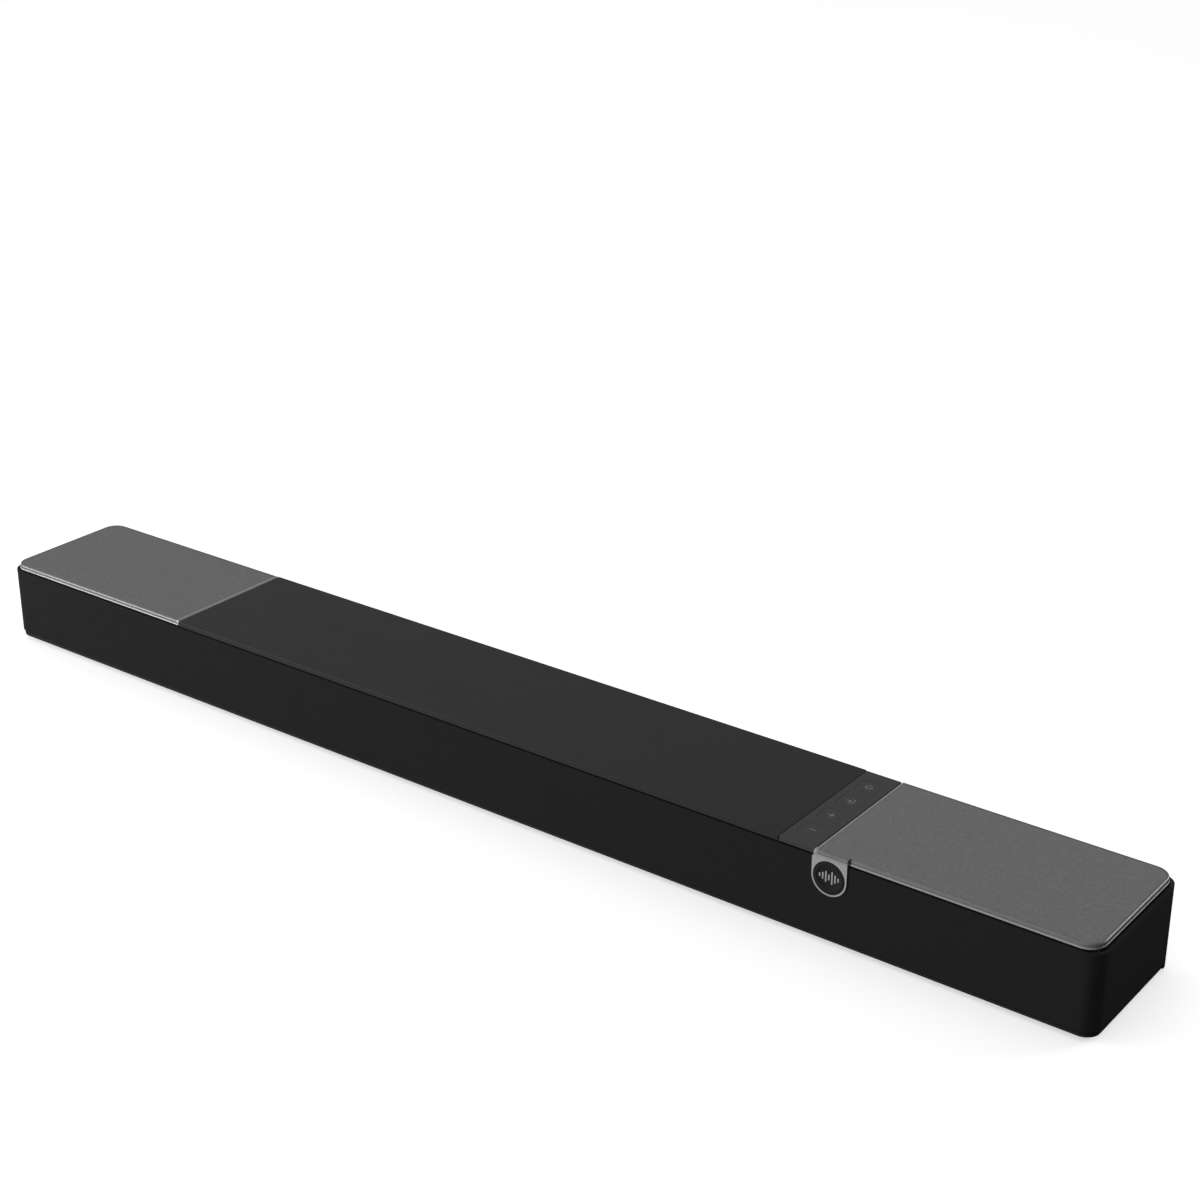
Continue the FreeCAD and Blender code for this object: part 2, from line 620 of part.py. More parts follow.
def control_panel():
    top = TOP - STRIP_SET_DOWN
    x0, x1 = STRIP_X + SEAM, COVER_X - SEAM
    upper = round_top(block(x0, x1, COVER_FRONT + LIP_OUT, COVER_BACK - LIP_OUT, SKIRT_Z, top),
                      STRIP_ROUND)
    lip = bead(block(x0, x1, COVER_FRONT, COVER_BACK, SKIRT_Z, SKIRT_Z + LIP_HEIGHT), LIP_ROUND,
               (x0, x1))
    panel = upper.fuse(lip)
    hollow = block(x0 - 1, x1 + 1, COVER_FRONT + SKIRT_THICK, COVER_BACK - SKIRT_THICK,
                   SKIRT_Z - 1, LID_Z)
    half = BUTTON_SIZE / 2 + BUTTON_GAP
    cuts = [rounded(STRIP_MID - half, STRIP_MID + half, y - half, y + half, LID_Z - 1, TOP + 1,
                    BUTTON_R + BUTTON_GAP) for y in BUTTONS.values()]
    posts = [rod(STRIP_POST_R, p + V(0, 0, BUTTON_BOARD_Z + BOARD_THICK), p + V(0, 0, LID_Z + 0.5))
             for p in STRIP_POSTS]
    whole = fuse([panel.cut(hollow).cut(fuse(cuts))] + posts)
    pilots = [rod(BOARD_SCREW_R + CLEAR / 2, p + V(0, 0, BUTTON_BOARD_Z), p + V(0, 0, LID_Z - 2))
              for p in STRIP_POSTS]
    return whole.cut(fuse(pilots))


def button(y):
    half, lip = BUTTON_SIZE / 2, BUTTON_SIZE / 2 + KEY_LIP
    top = TOP - STRIP_SET_DOWN
    cap = round_top(rounded(STRIP_MID - half, STRIP_MID + half, y - half, y + half,
                            LID_Z - 1.0, top, BUTTON_R), KEY_EDGE)
    flange = rounded(STRIP_MID - lip, STRIP_MID + lip, y - lip, y + lip, *KEY_FLANGE_Z,
                     BUTTON_R + KEY_LIP)
    stem = rod(KEY_STEM_R, V(STRIP_MID, y, KEY_STEM_Z), V(STRIP_MID, y, LID_Z - 0.5))
    return fuse([cap, flange, stem])


def button_board():
    top = BUTTON_BOARD_Z + BOARD_THICK
    parts = [block(STRIP_MID - BUTTON_BOARD_HALF, STRIP_MID + BUTTON_BOARD_HALF, *BUTTON_BOARD_Y,
                   BUTTON_BOARD_Z, top)]
    for y in BUTTONS.values():
        parts.append(block(STRIP_MID - SWITCH_HALF, STRIP_MID + SWITCH_HALF, y - SWITCH_HALF,
                           y + SWITCH_HALF, top, top + SWITCH_TALL))
        parts.append(rod(PLUNGER_R, V(STRIP_MID, y, top), V(STRIP_MID, y, top + PLUNGER_TALL)))
    holes = [rod(BOARD_SCREW_R + 2 * CLEAR, p + V(0, 0, BUTTON_BOARD_Z - 1), p + V(0, 0, top + 1))
             for p in STRIP_POSTS]
    return fuse(parts).cut(fuse(holes))


# ---- Tweeter ----
HORN_HALF, HORN_TALL = 40.0, 29.0
HORN_MOUTH_X, HORN_MOUTH_Z = 34.0, 23.0
HORN_DEEP = 18.0
HORN_FLANGE_THICK = 2.5
HORN_WALL = 1.8
HORN_LAP = 4.0                            # of its flange over the baffle's opening
HORN_SCREW_IN = 2.2
HORN_SCREW_HOLE_R = 1.4
THROAT = 11.0
TWEETER_FLANGE_R = 20.0
POT_SECTION = [(9.2, 0.0), (19.0, 0.0), (19.0, -14.0), (0.0, -14.0), (0.0, -3.0), (7.6, -3.0),
               (7.6, -9.0), (9.2, -9.0)]
TWEETER_CAP = (8.4, 2.8, 2.2, 0.4)        # radius, rise, crown and thickness
FORMER_SECTION = [(8.1, 0.0), (8.7, 0.0), (8.7, -6.0), (8.1, -6.0)]


def horn_screw_places():
    out, up = HORN_HALF - HORN_SCREW_IN, HORN_TALL - HORN_SCREW_IN
    return [V(sx * out, BAFFLE_FRONT, MID_Z + sz * up) for sx in (-1, 1) for sz in (-1, 1)]


def rectangle_at(half_x, half_z, y):
    corners = [V(-half_x, y, MID_Z - half_z), V(half_x, y, MID_Z - half_z),
               V(half_x, y, MID_Z + half_z), V(-half_x, y, MID_Z + half_z)]
    return Part.makePolygon(corners + [corners[0]])


def flare(grow, front, back):
    mouth = rectangle_at(HORN_MOUTH_X + grow, HORN_MOUTH_Z + grow, front)
    throat = rectangle_at(THROAT + grow, THROAT + grow, back)
    return Part.makeLoft([mouth, throat], True, True)


def tweeter_horn():
    front, back = BAFFLE_FRONT - HORN_FLANGE_THICK, BAFFLE_FRONT + HORN_DEEP
    flange = block(-HORN_HALF, HORN_HALF, front, BAFFLE_FRONT, MID_Z - HORN_TALL, MID_Z + HORN_TALL)
    seat = rod(TWEETER_FLANGE_R, V(0, back - 2, MID_Z), V(0, back, MID_Z))
    horn = fuse([flange, flare(HORN_WALL, front + 1, back), seat])
    cuts = [flare(0, front, back), rod(THROAT - 0.5, V(0, back - 3, MID_Z), V(0, back + 1, MID_Z))]
    cuts += [rod(HORN_SCREW_HOLE_R, p - V(0, 9, 0), p + V(0, 9, 0)) for p in horn_screw_places()]
    return horn.cut(fuse(cuts))


def tweeter_place():
    return V(0, BAFFLE_FRONT + HORN_DEEP, MID_Z)


def tweeter_magnet():
    return aimed(turned(POT_SECTION), tweeter_place(), 90)


def tweeter_dome():
    whole = dome(*TWEETER_CAP).fuse(turned(FORMER_SECTION))
    return aimed(whole.removeSplitter(), tweeter_place(), 90)


# ---- Up-firing boxes ----
def upfire_axis():
    tilt = math.radians(UPFIRE_TILT)
    return V(0, -math.sin(tilt), math.cos(tilt))


def sloped_prism(half_x, y0, y1, drop, z0):
    """A prism whose top is the sloping plane of the driver's seat, lowered by drop."""
    slope = math.tan(math.radians(UPFIRE_TILT))
    lift = [UPFIRE_Z - drop + slope * (y - UPFIRE_Y) for y in (y0, y1)]
    corners = [V(-half_x, y0, z0), V(-half_x, y1, z0), V(-half_x, y1, lift[1]), V(-half_x, y0, lift[0])]
    return Part.Face(Part.makePolygon(corners + [corners[0]])).extrude(V(2 * half_x, 0, 0))


def upfire_box():
    y0, y1 = UPFIRE_BOX_Y
    wall = FRAME_THICK
    outer = sloped_prism(UPFIRE_BOX_HALF, y0, y1, 0, FLOOR_TOP)
    inner = sloped_prism(UPFIRE_BOX_HALF - wall, y0 + wall, y1 - wall, wall, FLOOR_TOP - 1)
    seat = V(0, UPFIRE_Y, UPFIRE_Z)
    k = scale_of(UPFIRE_FLANGE_R)
    hole = rod(DRIVER_HOLE_R * k, seat - upfire_axis() * 10, seat + upfire_axis() * 10)
    screws = aimed(screw_holes(k, DRIVER_SCREW_R + CLEAR / 2), seat, UPFIRE_TILT)
    return outer.cut(inner).cut(hole).cut(screws)


# ---- Sockets and boards ----
SOCKET_Z = MAIN_BOARD_Z + BOARD_THICK
HDMI_X = (-62.0, -36.0)
OPTICAL_X = -6.0
USB_X = 24.0
HDMI_W, HDMI_H, HDMI_IN_W, HDMI_IN_H = 16.0, 7.0, 14.2, 4.7
OPTICAL_W, OPTICAL_IN = 13.0, 9.4
USB_W, USB_H, USB_IN_W, USB_IN_H = 14.6, 7.4, 12.6, 5.2
SOCKET_BACK = 20.0
HDMI_TONGUE, HDMI_DEEP = 1.2, 11.0
USB_TONGUE, USB_DEEP = 1.8, 12.0
OPTICAL_DEEP = 9.0
SOCKET_CLEAR = 0.15
INLET_W, INLET_H = 26.0, 16.0
INLET_Z, INLET_BACK = 36.0, 22.0
INLET_LOBE_R, INLET_LOBE_X, INLET_WELL_Y = 4.7, 5.5, 29.0
INLET_WAIST = 4.0
INLET_PIN_R, INLET_PIN_X, INLET_PIN_Y = 1.2, 4.3, (28.0, 39.0)
INLET_FLANGE = 2.0

# Boards are (x0, x1, y0, y1). Their parts are (x, y, size x, size y, height) boxes
# and (x, y, radius, height) cans.
MAIN_BOARD = (-80.0, 80.0, -4.0, 33.0)
MAIN_BOXES = ((-20, 5, 16, 16, 1.4), (15, 6, 11, 11, 1.2), (48, 14, 24, 18, 3.0))
MAIN_CANS = ((-60, 5, 2.6, 6), (-51, 5, 2.6, 6), (-42, 5, 2.6, 6))
AMP_BOARD = (164.0, 316.0, -30.0, 46.0)
AMP_CHIPS = ((205, 2, 18, 12, 2.0), (240, 2, 18, 12, 2.0), (275, 2, 18, 12, 2.0))
AMP_COILS, AMP_COIL_X, AMP_COIL_PITCH, AMP_COIL_Y = 6, 190.0, 20.0, -16.0
AMP_COIL_WIDE, AMP_COIL_TALL = 11.0, 9.0
AMP_CANS = ((178, 2, 6.3, 22), (302, 2, 6.3, 22))
POWER_BOARD = (-316.0, -164.0, -30.0, 34.0)
POWER_BOXES = ((-215, -4, 34, 30, 26), (-262, -12, 20, 16, 20), (-300, 5, 14, 22, 12))
POWER_CANS = ((-184, -8, 8.5, 30), (-190, 24, 5.0, 9), (-205, 24, 5.0, 9))
HEATSINK_X, HEATSINK_Y = (182.0, 298.0), (18.0, 38.0)
HEATSINK_BASE, HEATSINK_TALL = 5.0, 34.0
FINS, FIN_PITCH, FIN_THICK = 6, 3.6, 1.6
DISPLAY_HALF, DISPLAY_TALL = 30.0, 10.0
LAMPS, LAMP_X, LAMP_PITCH, LAMP_WIDE, LAMP_HALF, LAMP_TALL = 5, -22.0, 9.0, 3.0, 1.5, 0.8
EYE_X, EYE_HALF, EYE_TALL = (21.0, 27.0), 3.5, 2.5
FOAM_X, FOAM_Y, FOAM_TOP = (502.0, 546.0), (-8.0, 46.0), 62.0


def socket_cutouts():
    clear = SOCKET_CLEAR

    def cut(x, width, height, z0):
        half = width / 2 + clear
        return block(x - half, x + half, IO_FLOOR - POCKET_WALL - 1, IO_FLOOR + 1,
                     z0 - clear, z0 + height + clear)

    cuts = [cut(x, HDMI_W, HDMI_H, SOCKET_Z) for x in HDMI_X]
    cuts.append(cut(OPTICAL_X, OPTICAL_W, OPTICAL_W, SOCKET_Z))
    cuts.append(cut(USB_X, USB_W, USB_H, SOCKET_Z))
    half_w, half_h = INLET_W / 2 + clear, INLET_H / 2 + clear
    cuts.append(block(MAINS_X - half_w, MAINS_X + half_w, MAINS_FLOOR - POCKET_WALL - 1,
                      MAINS_FLOOR + 1, INLET_Z - half_h, INLET_Z + half_h))
    return cuts


def shell_socket(x, width, height, in_width, in_height, tongue, deep):
    """A metal-shelled socket that faces the rear, with its contact tongue."""
    body = block(x - width / 2, x + width / 2, SOCKET_BACK, IO_FLOOR, SOCKET_Z, SOCKET_Z + height)
    mid = SOCKET_Z + height / 2
    mouth = block(x - in_width / 2, x + in_width / 2, IO_FLOOR - deep, IO_FLOOR + 1,
                  mid - in_height / 2, mid + in_height / 2)
    blade = block(x - in_width / 2 + 1.5, x + in_width / 2 - 1.5, IO_FLOOR - deep - 1,
                  IO_FLOOR - 2.0, mid - tongue / 2, mid + tongue / 2)
    return fuse([body.cut(mouth), blade])


def hdmi_sockets():
    made = [shell_socket(x, HDMI_W, HDMI_H, HDMI_IN_W, HDMI_IN_H, HDMI_TONGUE, HDMI_DEEP)
            for x in HDMI_X]
    return Part.makeCompound(made)


def usb_socket():
    return shell_socket(USB_X, USB_W, USB_H, USB_IN_W, USB_IN_H, USB_TONGUE, USB_DEEP)


def optical_socket():
    half, hole = OPTICAL_W / 2, OPTICAL_IN / 2
    mid = SOCKET_Z + half
    body = block(OPTICAL_X - half, OPTICAL_X + half, SOCKET_BACK, IO_FLOOR, SOCKET_Z,
                 SOCKET_Z + OPTICAL_W)
    return body.cut(block(OPTICAL_X - hole, OPTICAL_X + hole, IO_FLOOR - OPTICAL_DEEP, IO_FLOOR + 1,
                          mid - hole, mid + hole))


def mains_inlet():
    half_w, half_h = INLET_W / 2, INLET_H / 2
    body = block(MAINS_X - half_w, MAINS_X + half_w, INLET_BACK, MAINS_FLOOR, INLET_Z - half_h,
                 INLET_Z + half_h)
    wide, tall, face = half_w + INLET_FLANGE, half_h + INLET_FLANGE, MAINS_FLOOR - POCKET_WALL
    flange = block(MAINS_X - wide, MAINS_X + wide, face - INLET_FLANGE, face, INLET_Z - tall,
                   INLET_Z + tall)
    lobes = [rod(INLET_LOBE_R, V(MAINS_X + dx, INLET_WELL_Y, INLET_Z),
                 V(MAINS_X + dx, MAINS_FLOOR + 1, INLET_Z)) for dx in (-INLET_LOBE_X, INLET_LOBE_X)]
    waist = block(MAINS_X - INLET_LOBE_X, MAINS_X + INLET_LOBE_X, INLET_WELL_Y, MAINS_FLOOR + 1,
                  INLET_Z - INLET_WAIST, INLET_Z + INLET_WAIST)
    well = fuse(lobes + [waist])
    pins = [rod(INLET_PIN_R, V(MAINS_X + dx, INLET_PIN_Y[0], INLET_Z),
                V(MAINS_X + dx, INLET_PIN_Y[1], INLET_Z)) for dx in (-INLET_PIN_X, INLET_PIN_X)]
    return fuse([body.fuse(flange).cut(well)] + pins)


def board_with(outline, z, posts, parts):
    x0, x1, y0, y1 = outline
    board = block(x0, x1, y0, y1, z, z + BOARD_THICK)
    holes = [rod(BOARD_SCREW_R + 2 * CLEAR, p + V(0, 0, z - 2), p + V(0, 0, z + 4)) for p in posts]
    return fuse([board.cut(fuse(holes))] + parts)


def boxes_on(z, boxes):
    top = z + BOARD_THICK
    return [block(x - size_x / 2, x + size_x / 2, y - size_y / 2, y + size_y / 2, top, top + tall)
            for x, y, size_x, size_y, tall in boxes]


def cans_on(z, cans):
    top = z + BOARD_THICK
    return [rod(radius, V(x, y, top), V(x, y, top + tall)) for x, y, radius, tall in cans]


def main_board():
    parts = boxes_on(MAIN_BOARD_Z, MAIN_BOXES) + cans_on(MAIN_BOARD_Z, MAIN_CANS)
    return board_with(MAIN_BOARD, MAIN_BOARD_Z, MAIN_POSTS, parts)


def amplifier_board():
    coils = [(AMP_COIL_X + AMP_COIL_PITCH * number, AMP_COIL_Y, AMP_COIL_WIDE, AMP_COIL_WIDE,
              AMP_COIL_TALL) for number in range(AMP_COILS)]
    parts = boxes_on(BOARD_Z, AMP_CHIPS) + boxes_on(BOARD_Z, coils) + cans_on(BOARD_Z, AMP_CANS)
    return board_with(AMP_BOARD, BOARD_Z, AMP_POSTS, parts)


def heatsink():
    z = BOARD_Z + BOARD_THICK
    parts = [block(*HEATSINK_X, *HEATSINK_Y, z, z + HEATSINK_BASE)]
    for number in range(FINS):
        y = HEATSINK_Y[0] + FIN_PITCH * number
        parts.append(block(*HEATSINK_X, y, y + FIN_THICK, z, z + HEATSINK_TALL))
    return fuse(parts)


def power_board():
    parts = boxes_on(BOARD_Z, POWER_BOXES) + cans_on(BOARD_Z, POWER_CANS)
    return board_with(POWER_BOARD, BOARD_Z, POWER_POSTS, parts)


def display_board():
    """Status lamps and the remote control's eye, behind the cloth."""
    mid, face = 2 * WINDOW_PITCH, BAFFLE_FRONT - BOARD_THICK
    parts = [block(mid - DISPLAY_HALF, mid + DISPLAY_HALF, face, BAFFLE_FRONT,
                   MID_Z - DISPLAY_TALL, MID_Z + DISPLAY_TALL)]
    parts.append(block(mid + EYE_X[0], mid + EYE_X[1], face - EYE_TALL, BAFFLE_FRONT - 1,
                       MID_Z - EYE_HALF, MID_Z + EYE_HALF))
    for number in range(LAMPS):
        x = mid + LAMP_X + LAMP_PITCH * number
        parts.append(block(x, x + LAMP_WIDE, face - LAMP_TALL, BAFFLE_FRONT - 1,
                           MID_Z - LAMP_HALF, MID_Z + LAMP_HALF))
    return fuse(parts)


def wiring_loom():
    """Speaker leads along the rear of the tray, with a branch to each driver."""
    line = [rod(LOOM_R, V(-LOOM_END, LOOM_Y, LOOM_Z), V(LOOM_END, LOOM_Y, LOOM_Z))]
    for x, stop in ((-LOOM_END, LOOM_END_Y), (LOOM_END, LOOM_END_Y)) + LOOM_BRANCHES:
        line.append(rod(LOOM_R, V(x, LOOM_Y, LOOM_Z), V(x, stop, LOOM_Z)))
        line.append(Part.makeSphere(LOOM_R, V(x, LOOM_Y, LOOM_Z)))
    return fuse(line)


def damping_foam():
    right = block(*FOAM_X, *FOAM_Y, FLOOR_TOP, FOAM_TOP)
    return Part.makeCompound([right, mirrored(right)])


def mount_inserts():
    made = []
    for side in (-1, 1):
        mouth = V(side * WALL_MOUNT_SPACING / 2, BACK, INSERT_Z)
        body = rod(INSERT_R, mouth - V(0, INSERT_LONG, 0), mouth)
        collar = rod(INSERT_R + INSERT_COLLAR, mouth - V(0, WALL + INSERT_COLLAR, 0),
                     mouth - V(0, WALL, 0))
        bore = rod(INSERT_BORE, mouth - V(0, INSERT_LONG - 2, 0), mouth + V(0, 1, 0))
        made.append(body.fuse(collar).removeSplitter().cut(bore))
    return Part.makeCompound(made)


def board_screws():
    made = []
    for posts, z in ((AMP_POSTS, BOARD_Z), (POWER_POSTS, BOARD_Z), (MAIN_POSTS, MAIN_BOARD_Z)):
        for p in posts:
            made.append(aimed(screw(BOARD_SCREW_R, BOARD_SCREW_LONG), p + V(0, 0, z + BOARD_THICK), 0))
    for p in STRIP_POSTS:
        made.append(aimed(screw(BOARD_SCREW_R, BOARD_SCREW_LONG), p + V(0, 0, BUTTON_BOARD_Z), 180))
    return made


def all_driver_screws():
    made = []
    for x in WOOFERS.values():
        made += [aimed_after(s, V(x, BAFFLE_FRONT, MID_Z), 90) for s in driver_screws(1)]
    k = scale_of(UPFIRE_FLANGE_R)
    for x in UPFIRES.values():
        made += [aimed_after(s, V(x, UPFIRE_Y, UPFIRE_Z), UPFIRE_TILT) for s in driver_screws(k)]
    for p in horn_screw_places():
        made.append(aimed(screw(DRIVER_SCREW_R, DRIVER_SCREW_LONG), p - V(0, HORN_FLANGE_THICK, 0), 90))
    return made


def aimed_after(shape, place, tilt):
    """As aimed, for a shape that already has a place of its own."""
    moved = shape.copy()
    turn = FreeCAD.Placement(place, FreeCAD.Rotation(V(1, 0, 0), tilt))
    moved.Placement = turn.multiply(moved.Placement)
    return moved


FOOT_X, FOOT_Y = 470.0, 38.0
FOOT_HALF_X, FOOT_HALF_Y, FOOT_R, FOOT_EDGE = 30.0, 8.0, 7.5, 0.8


def foot(side_x, side_y):
    x, y = side_x * FOOT_X, side_y * FOOT_Y
    pad = rounded(x - FOOT_HALF_X, x + FOOT_HALF_X, y - FOOT_HALF_Y, y + FOOT_HALF_Y, 0, BASE, FOOT_R)
    low = [e for e in pad.Edges if e.BoundBox.ZMax < 1e-6]
    return pad.makeChamfer(FOOT_EDGE, low)


# ---- Write every node ----
def export_case():
    export("base_tray", base_tray())
    export("rear_panel", rear_panel())
    export("front_baffle", front_baffle())
    export("grille_frame", grille_frame())
    export("grille_cloth", grille_cloth())
    export("top_panel", top_panel())
    export("control_panel", control_panel())
    export("left_cover", mirrored(plain_cover()))
    export("right_cover", right_cover())
    export("left_cover_mesh", mirrored(mesh()))
    export("right_cover_mesh", mesh())
    export("badge_tab", badge_tab())
    export("badge_disc", badge_disc())
    for name, sx, sy in (("front_left_foot", -1, -1), ("front_right_foot", 1, -1),
                         ("rear_left_foot", -1, 1), ("rear_right_foot", 1, 1)):
        export(name, foot(sx, sy))


def export_drivers():
    places = [V(x, BAFFLE_FRONT, MID_Z) for x in WOOFERS.values()]
    for name, place in zip(WOOFERS, places):
        export(name + "_frame", aimed(driver_frame(1), place, 90))
        export(name + "_cone", aimed(driver_cone(1), place, 90))
    export("woofer_magnets", Part.makeCompound([aimed(driver_magnet(1), p, 90) for p in places]))
    soft = [aimed(driver_surround(1), p, 90) for p in places]
    soft += [aimed(driver_spider(1), p, 90) for p in places]
    export("woofer_suspensions", Part.makeCompound(soft))
    k = scale_of(UPFIRE_FLANGE_R)
    for name, x in UPFIRES.items():
        place = V(x, UPFIRE_Y, UPFIRE_Z)
        box = upfire_box()
        box.translate(V(x, 0, 0))
        export(name + "_box", box)
        export(name + "_frame", aimed(driver_frame(k), place, UPFIRE_TILT))
        export(name + "_magnet", aimed(driver_magnet(k), place, UPFIRE_TILT))
        export(name + "_cone", aimed(driver_cone(k), place, UPFIRE_TILT))
        soft = [aimed(made, place, UPFIRE_TILT) for made in (driver_surround(k), driver_spider(k))]
        export(name + "_suspension", Part.makeCompound(soft))
    export("tweeter_horn", tweeter_horn())
    export("tweeter_magnet", tweeter_magnet())
    export("tweeter_dome", tweeter_dome())
    export("driver_screws", Part.makeCompound(all_driver_screws()))


def export_electronics():
    for name, y in BUTTONS.items():
        export(name, button(y))
    export("button_board", button_board())
    export("main_board", main_board())
    export("amplifier_board", amplifier_board())
    export("heatsink", heatsink())
    export("power_board", power_board())
    export("display_board", display_board())
    export("mains_inlet", mains_inlet())
    export("hdmi_sockets", hdmi_sockets())
    export("optical_socket", optical_socket())
    export("usb_socket", usb_socket())
    export("wiring_loom", wiring_loom())
    export("damping_foam", damping_foam())
    export("mount_inserts", mount_inserts())
    export("case_screws", case_screws())
    export("board_screws", Part.makeCompound(board_screws()))


os.makedirs("parts", exist_ok=True)
export_case()
export_drivers()
export_electronics()
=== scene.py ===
import json
import math

import bpy
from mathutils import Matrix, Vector


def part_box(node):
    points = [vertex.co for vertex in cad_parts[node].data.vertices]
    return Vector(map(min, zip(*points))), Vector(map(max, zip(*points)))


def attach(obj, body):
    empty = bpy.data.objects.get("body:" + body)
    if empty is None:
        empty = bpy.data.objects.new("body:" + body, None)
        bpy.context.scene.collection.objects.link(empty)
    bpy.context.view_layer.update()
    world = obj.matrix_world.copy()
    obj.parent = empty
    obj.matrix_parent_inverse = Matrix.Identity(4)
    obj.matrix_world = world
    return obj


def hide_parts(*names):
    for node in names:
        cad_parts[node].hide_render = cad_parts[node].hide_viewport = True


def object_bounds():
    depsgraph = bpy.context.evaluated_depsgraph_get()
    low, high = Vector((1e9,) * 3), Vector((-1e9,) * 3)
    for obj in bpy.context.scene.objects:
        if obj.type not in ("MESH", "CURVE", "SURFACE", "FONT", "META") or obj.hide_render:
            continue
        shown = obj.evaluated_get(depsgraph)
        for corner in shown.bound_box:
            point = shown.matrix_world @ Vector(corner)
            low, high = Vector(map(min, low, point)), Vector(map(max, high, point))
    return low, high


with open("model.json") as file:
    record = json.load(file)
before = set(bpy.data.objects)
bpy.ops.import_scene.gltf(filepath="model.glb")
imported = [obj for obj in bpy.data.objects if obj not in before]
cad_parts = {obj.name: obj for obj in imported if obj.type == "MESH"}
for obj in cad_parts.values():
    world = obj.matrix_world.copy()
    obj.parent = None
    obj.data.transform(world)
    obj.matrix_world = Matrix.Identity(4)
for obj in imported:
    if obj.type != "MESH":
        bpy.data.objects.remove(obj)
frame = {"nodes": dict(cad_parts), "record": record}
cad_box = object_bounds()
nodes = frame["nodes"]

# Soundbar, in metres. +X is the right-hand end, -Y the front, +Z up.
MM = 0.001


def span(node):
    """Lowest and highest corner of a CAD node."""
    low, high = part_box(node)
    return Vector(low), Vector(high)


# ---- Camera ----
CAMERA_AT = (1.05228, -1.27965, 0.89415)
CAMERA_PITCH = 66.208      # degrees up from looking straight down
CAMERA_YAW = 36.940
CAMERA_LENS = 66.82        # millimetres
CAMERA_SENSOR = 36.0       # millimetres
CAMERA_REACH = 60.0        # metres


def make_camera():
    data = bpy.data.cameras.new("camera")
    data.lens = CAMERA_LENS
    data.sensor_width = CAMERA_SENSOR
    data.clip_end = CAMERA_REACH
    camera = bpy.data.objects.new("camera", data)
    camera.location = CAMERA_AT
    camera.rotation_euler = (math.radians(CAMERA_PITCH), 0, math.radians(CAMERA_YAW))
    bpy.context.scene.collection.objects.link(camera)
    bpy.context.scene.camera = camera


# ---- Materials ----
NOISE_LOW, NOISE_HIGH = 0.3, 0.7       # nearly all of a noise's values lie between these


class Finish:
    """A material, its shader and short names for the nodes that feed it."""

    def __init__(self, name, metallic=0.0, **uniform):
        self.material = bpy.data.materials.new(name)
        self.material.use_nodes = True
        self.nodes = self.material.node_tree.nodes
        self.links = self.material.node_tree.links
        self.shader = self.nodes["Principled BSDF"]
        self.place = self.nodes.new("ShaderNodeTexCoord").outputs["Object"]
        self.shader.inputs["Metallic"].default_value = metallic
        for socket, value in uniform.items():
            self.shader.inputs[socket.replace("_", " ")].default_value = value

    def put(self, socket, value):
        if isinstance(value, bpy.types.NodeSocket):
            self.links.new(value, socket)
        else:
            socket.default_value = value

    def math(self, operation, *values):
        node = self.nodes.new("ShaderNodeMath")
        node.operation = operation
        for socket, value in zip(node.inputs, values):
            self.put(socket, value)
        return node.outputs[0]

    def between(self, value, low, high, to_low=0.0, to_high=1.0):
        """A smooth step of a value, spread over a new range."""
        node = self.nodes.new("ShaderNodeMapRange")
        node.interpolation_type = "SMOOTHSTEP"
        for socket, given in zip(node.inputs, (value, low, high, to_low, to_high)):
            self.put(socket, given)
        return node.outputs[0]

    def spread(self, noise, to_low=0.0, to_high=1.0):
        """A noise from 0 to 1 with more contrast, spread over a new range."""
        return self.between(noise, NOISE_LOW, NOISE_HIGH, to_low, to_high)

    def axis(self, letter):
        """The distance along one of the bar's own axes."""
        node = self.nodes.new("ShaderNodeSeparateXYZ")
        self.put(node.inputs[0], self.place)
        return node.outputs["XYZ".index(letter)]

    def stretched(self, x, y, z):
        """The place, with each axis scaled, so that patterns get long along a small scale."""
        node = self.nodes.new("ShaderNodeMapping")
        self.put(node.inputs["Vector"], self.place)
        node.inputs["Scale"].default_value = (x, y, z)
        return node.outputs[0]

    def noise(self, size, detail=2.0, place=None):
        """Noise from 0 to 1 whose patches are about the given size across."""
        node = self.nodes.new("ShaderNodeTexNoise")
        self.put(node.inputs["Vector"], place or self.place)
        node.inputs["Scale"].default_value = 1.0 / size
        node.inputs["Detail"].default_value = detail
        return node.outputs["Fac"]

    def cells(self, size):
        """Distance from the middle of the nearest cell; cells are about the given size across."""
        node = self.nodes.new("ShaderNodeTexVoronoi")
        self.put(node.inputs["Vector"], self.place)
        node.inputs["Scale"].default_value = 1.0 / size
        return node.outputs["Distance"]

    def tint(self, share, first, second):
        """A mix of two colours. The first may also be another node's output."""
        node = self.nodes.new("ShaderNodeMix")
        node.data_type = "RGBA"
        self.put(node.inputs["Factor"], share)
        if not isinstance(first, bpy.types.NodeSocket):
            first = (*first, 1)
        self.put(node.inputs["A"], first)
        node.inputs["B"].default_value = (*second, 1)
        return node.outputs["Result"]

    def relief(self, height, deep):
        """Bump of a height from 0 to 1 that is the given depth in metres."""
        node = self.nodes.new("ShaderNodeBump")
        node.inputs["Strength"].default_value = 1.0
        node.inputs["Distance"].default_value = deep
        self.put(node.inputs["Height"], height)
        self.links.new(node.outputs[0], self.shader.inputs["Normal"])

    def colour(self, value):
        self.put(self.shader.inputs["Base Color"], value)

    def rough(self, value):
        self.put(self.shader.inputs["Roughness"], value)


def grey(value, warm=0.0):
    """A neutral colour, or a slightly warm one."""
    return (value * (1 + warm), value, value * (1 - warm))


def shade(colour, factor):
    """A colour made darker or lighter."""
    return tuple(min(1.0, channel * factor) for channel in colour)


MOULDED_PATCH = 30 * MM
MOULDED_GLOSS = 0.05       # how far the roughness strays


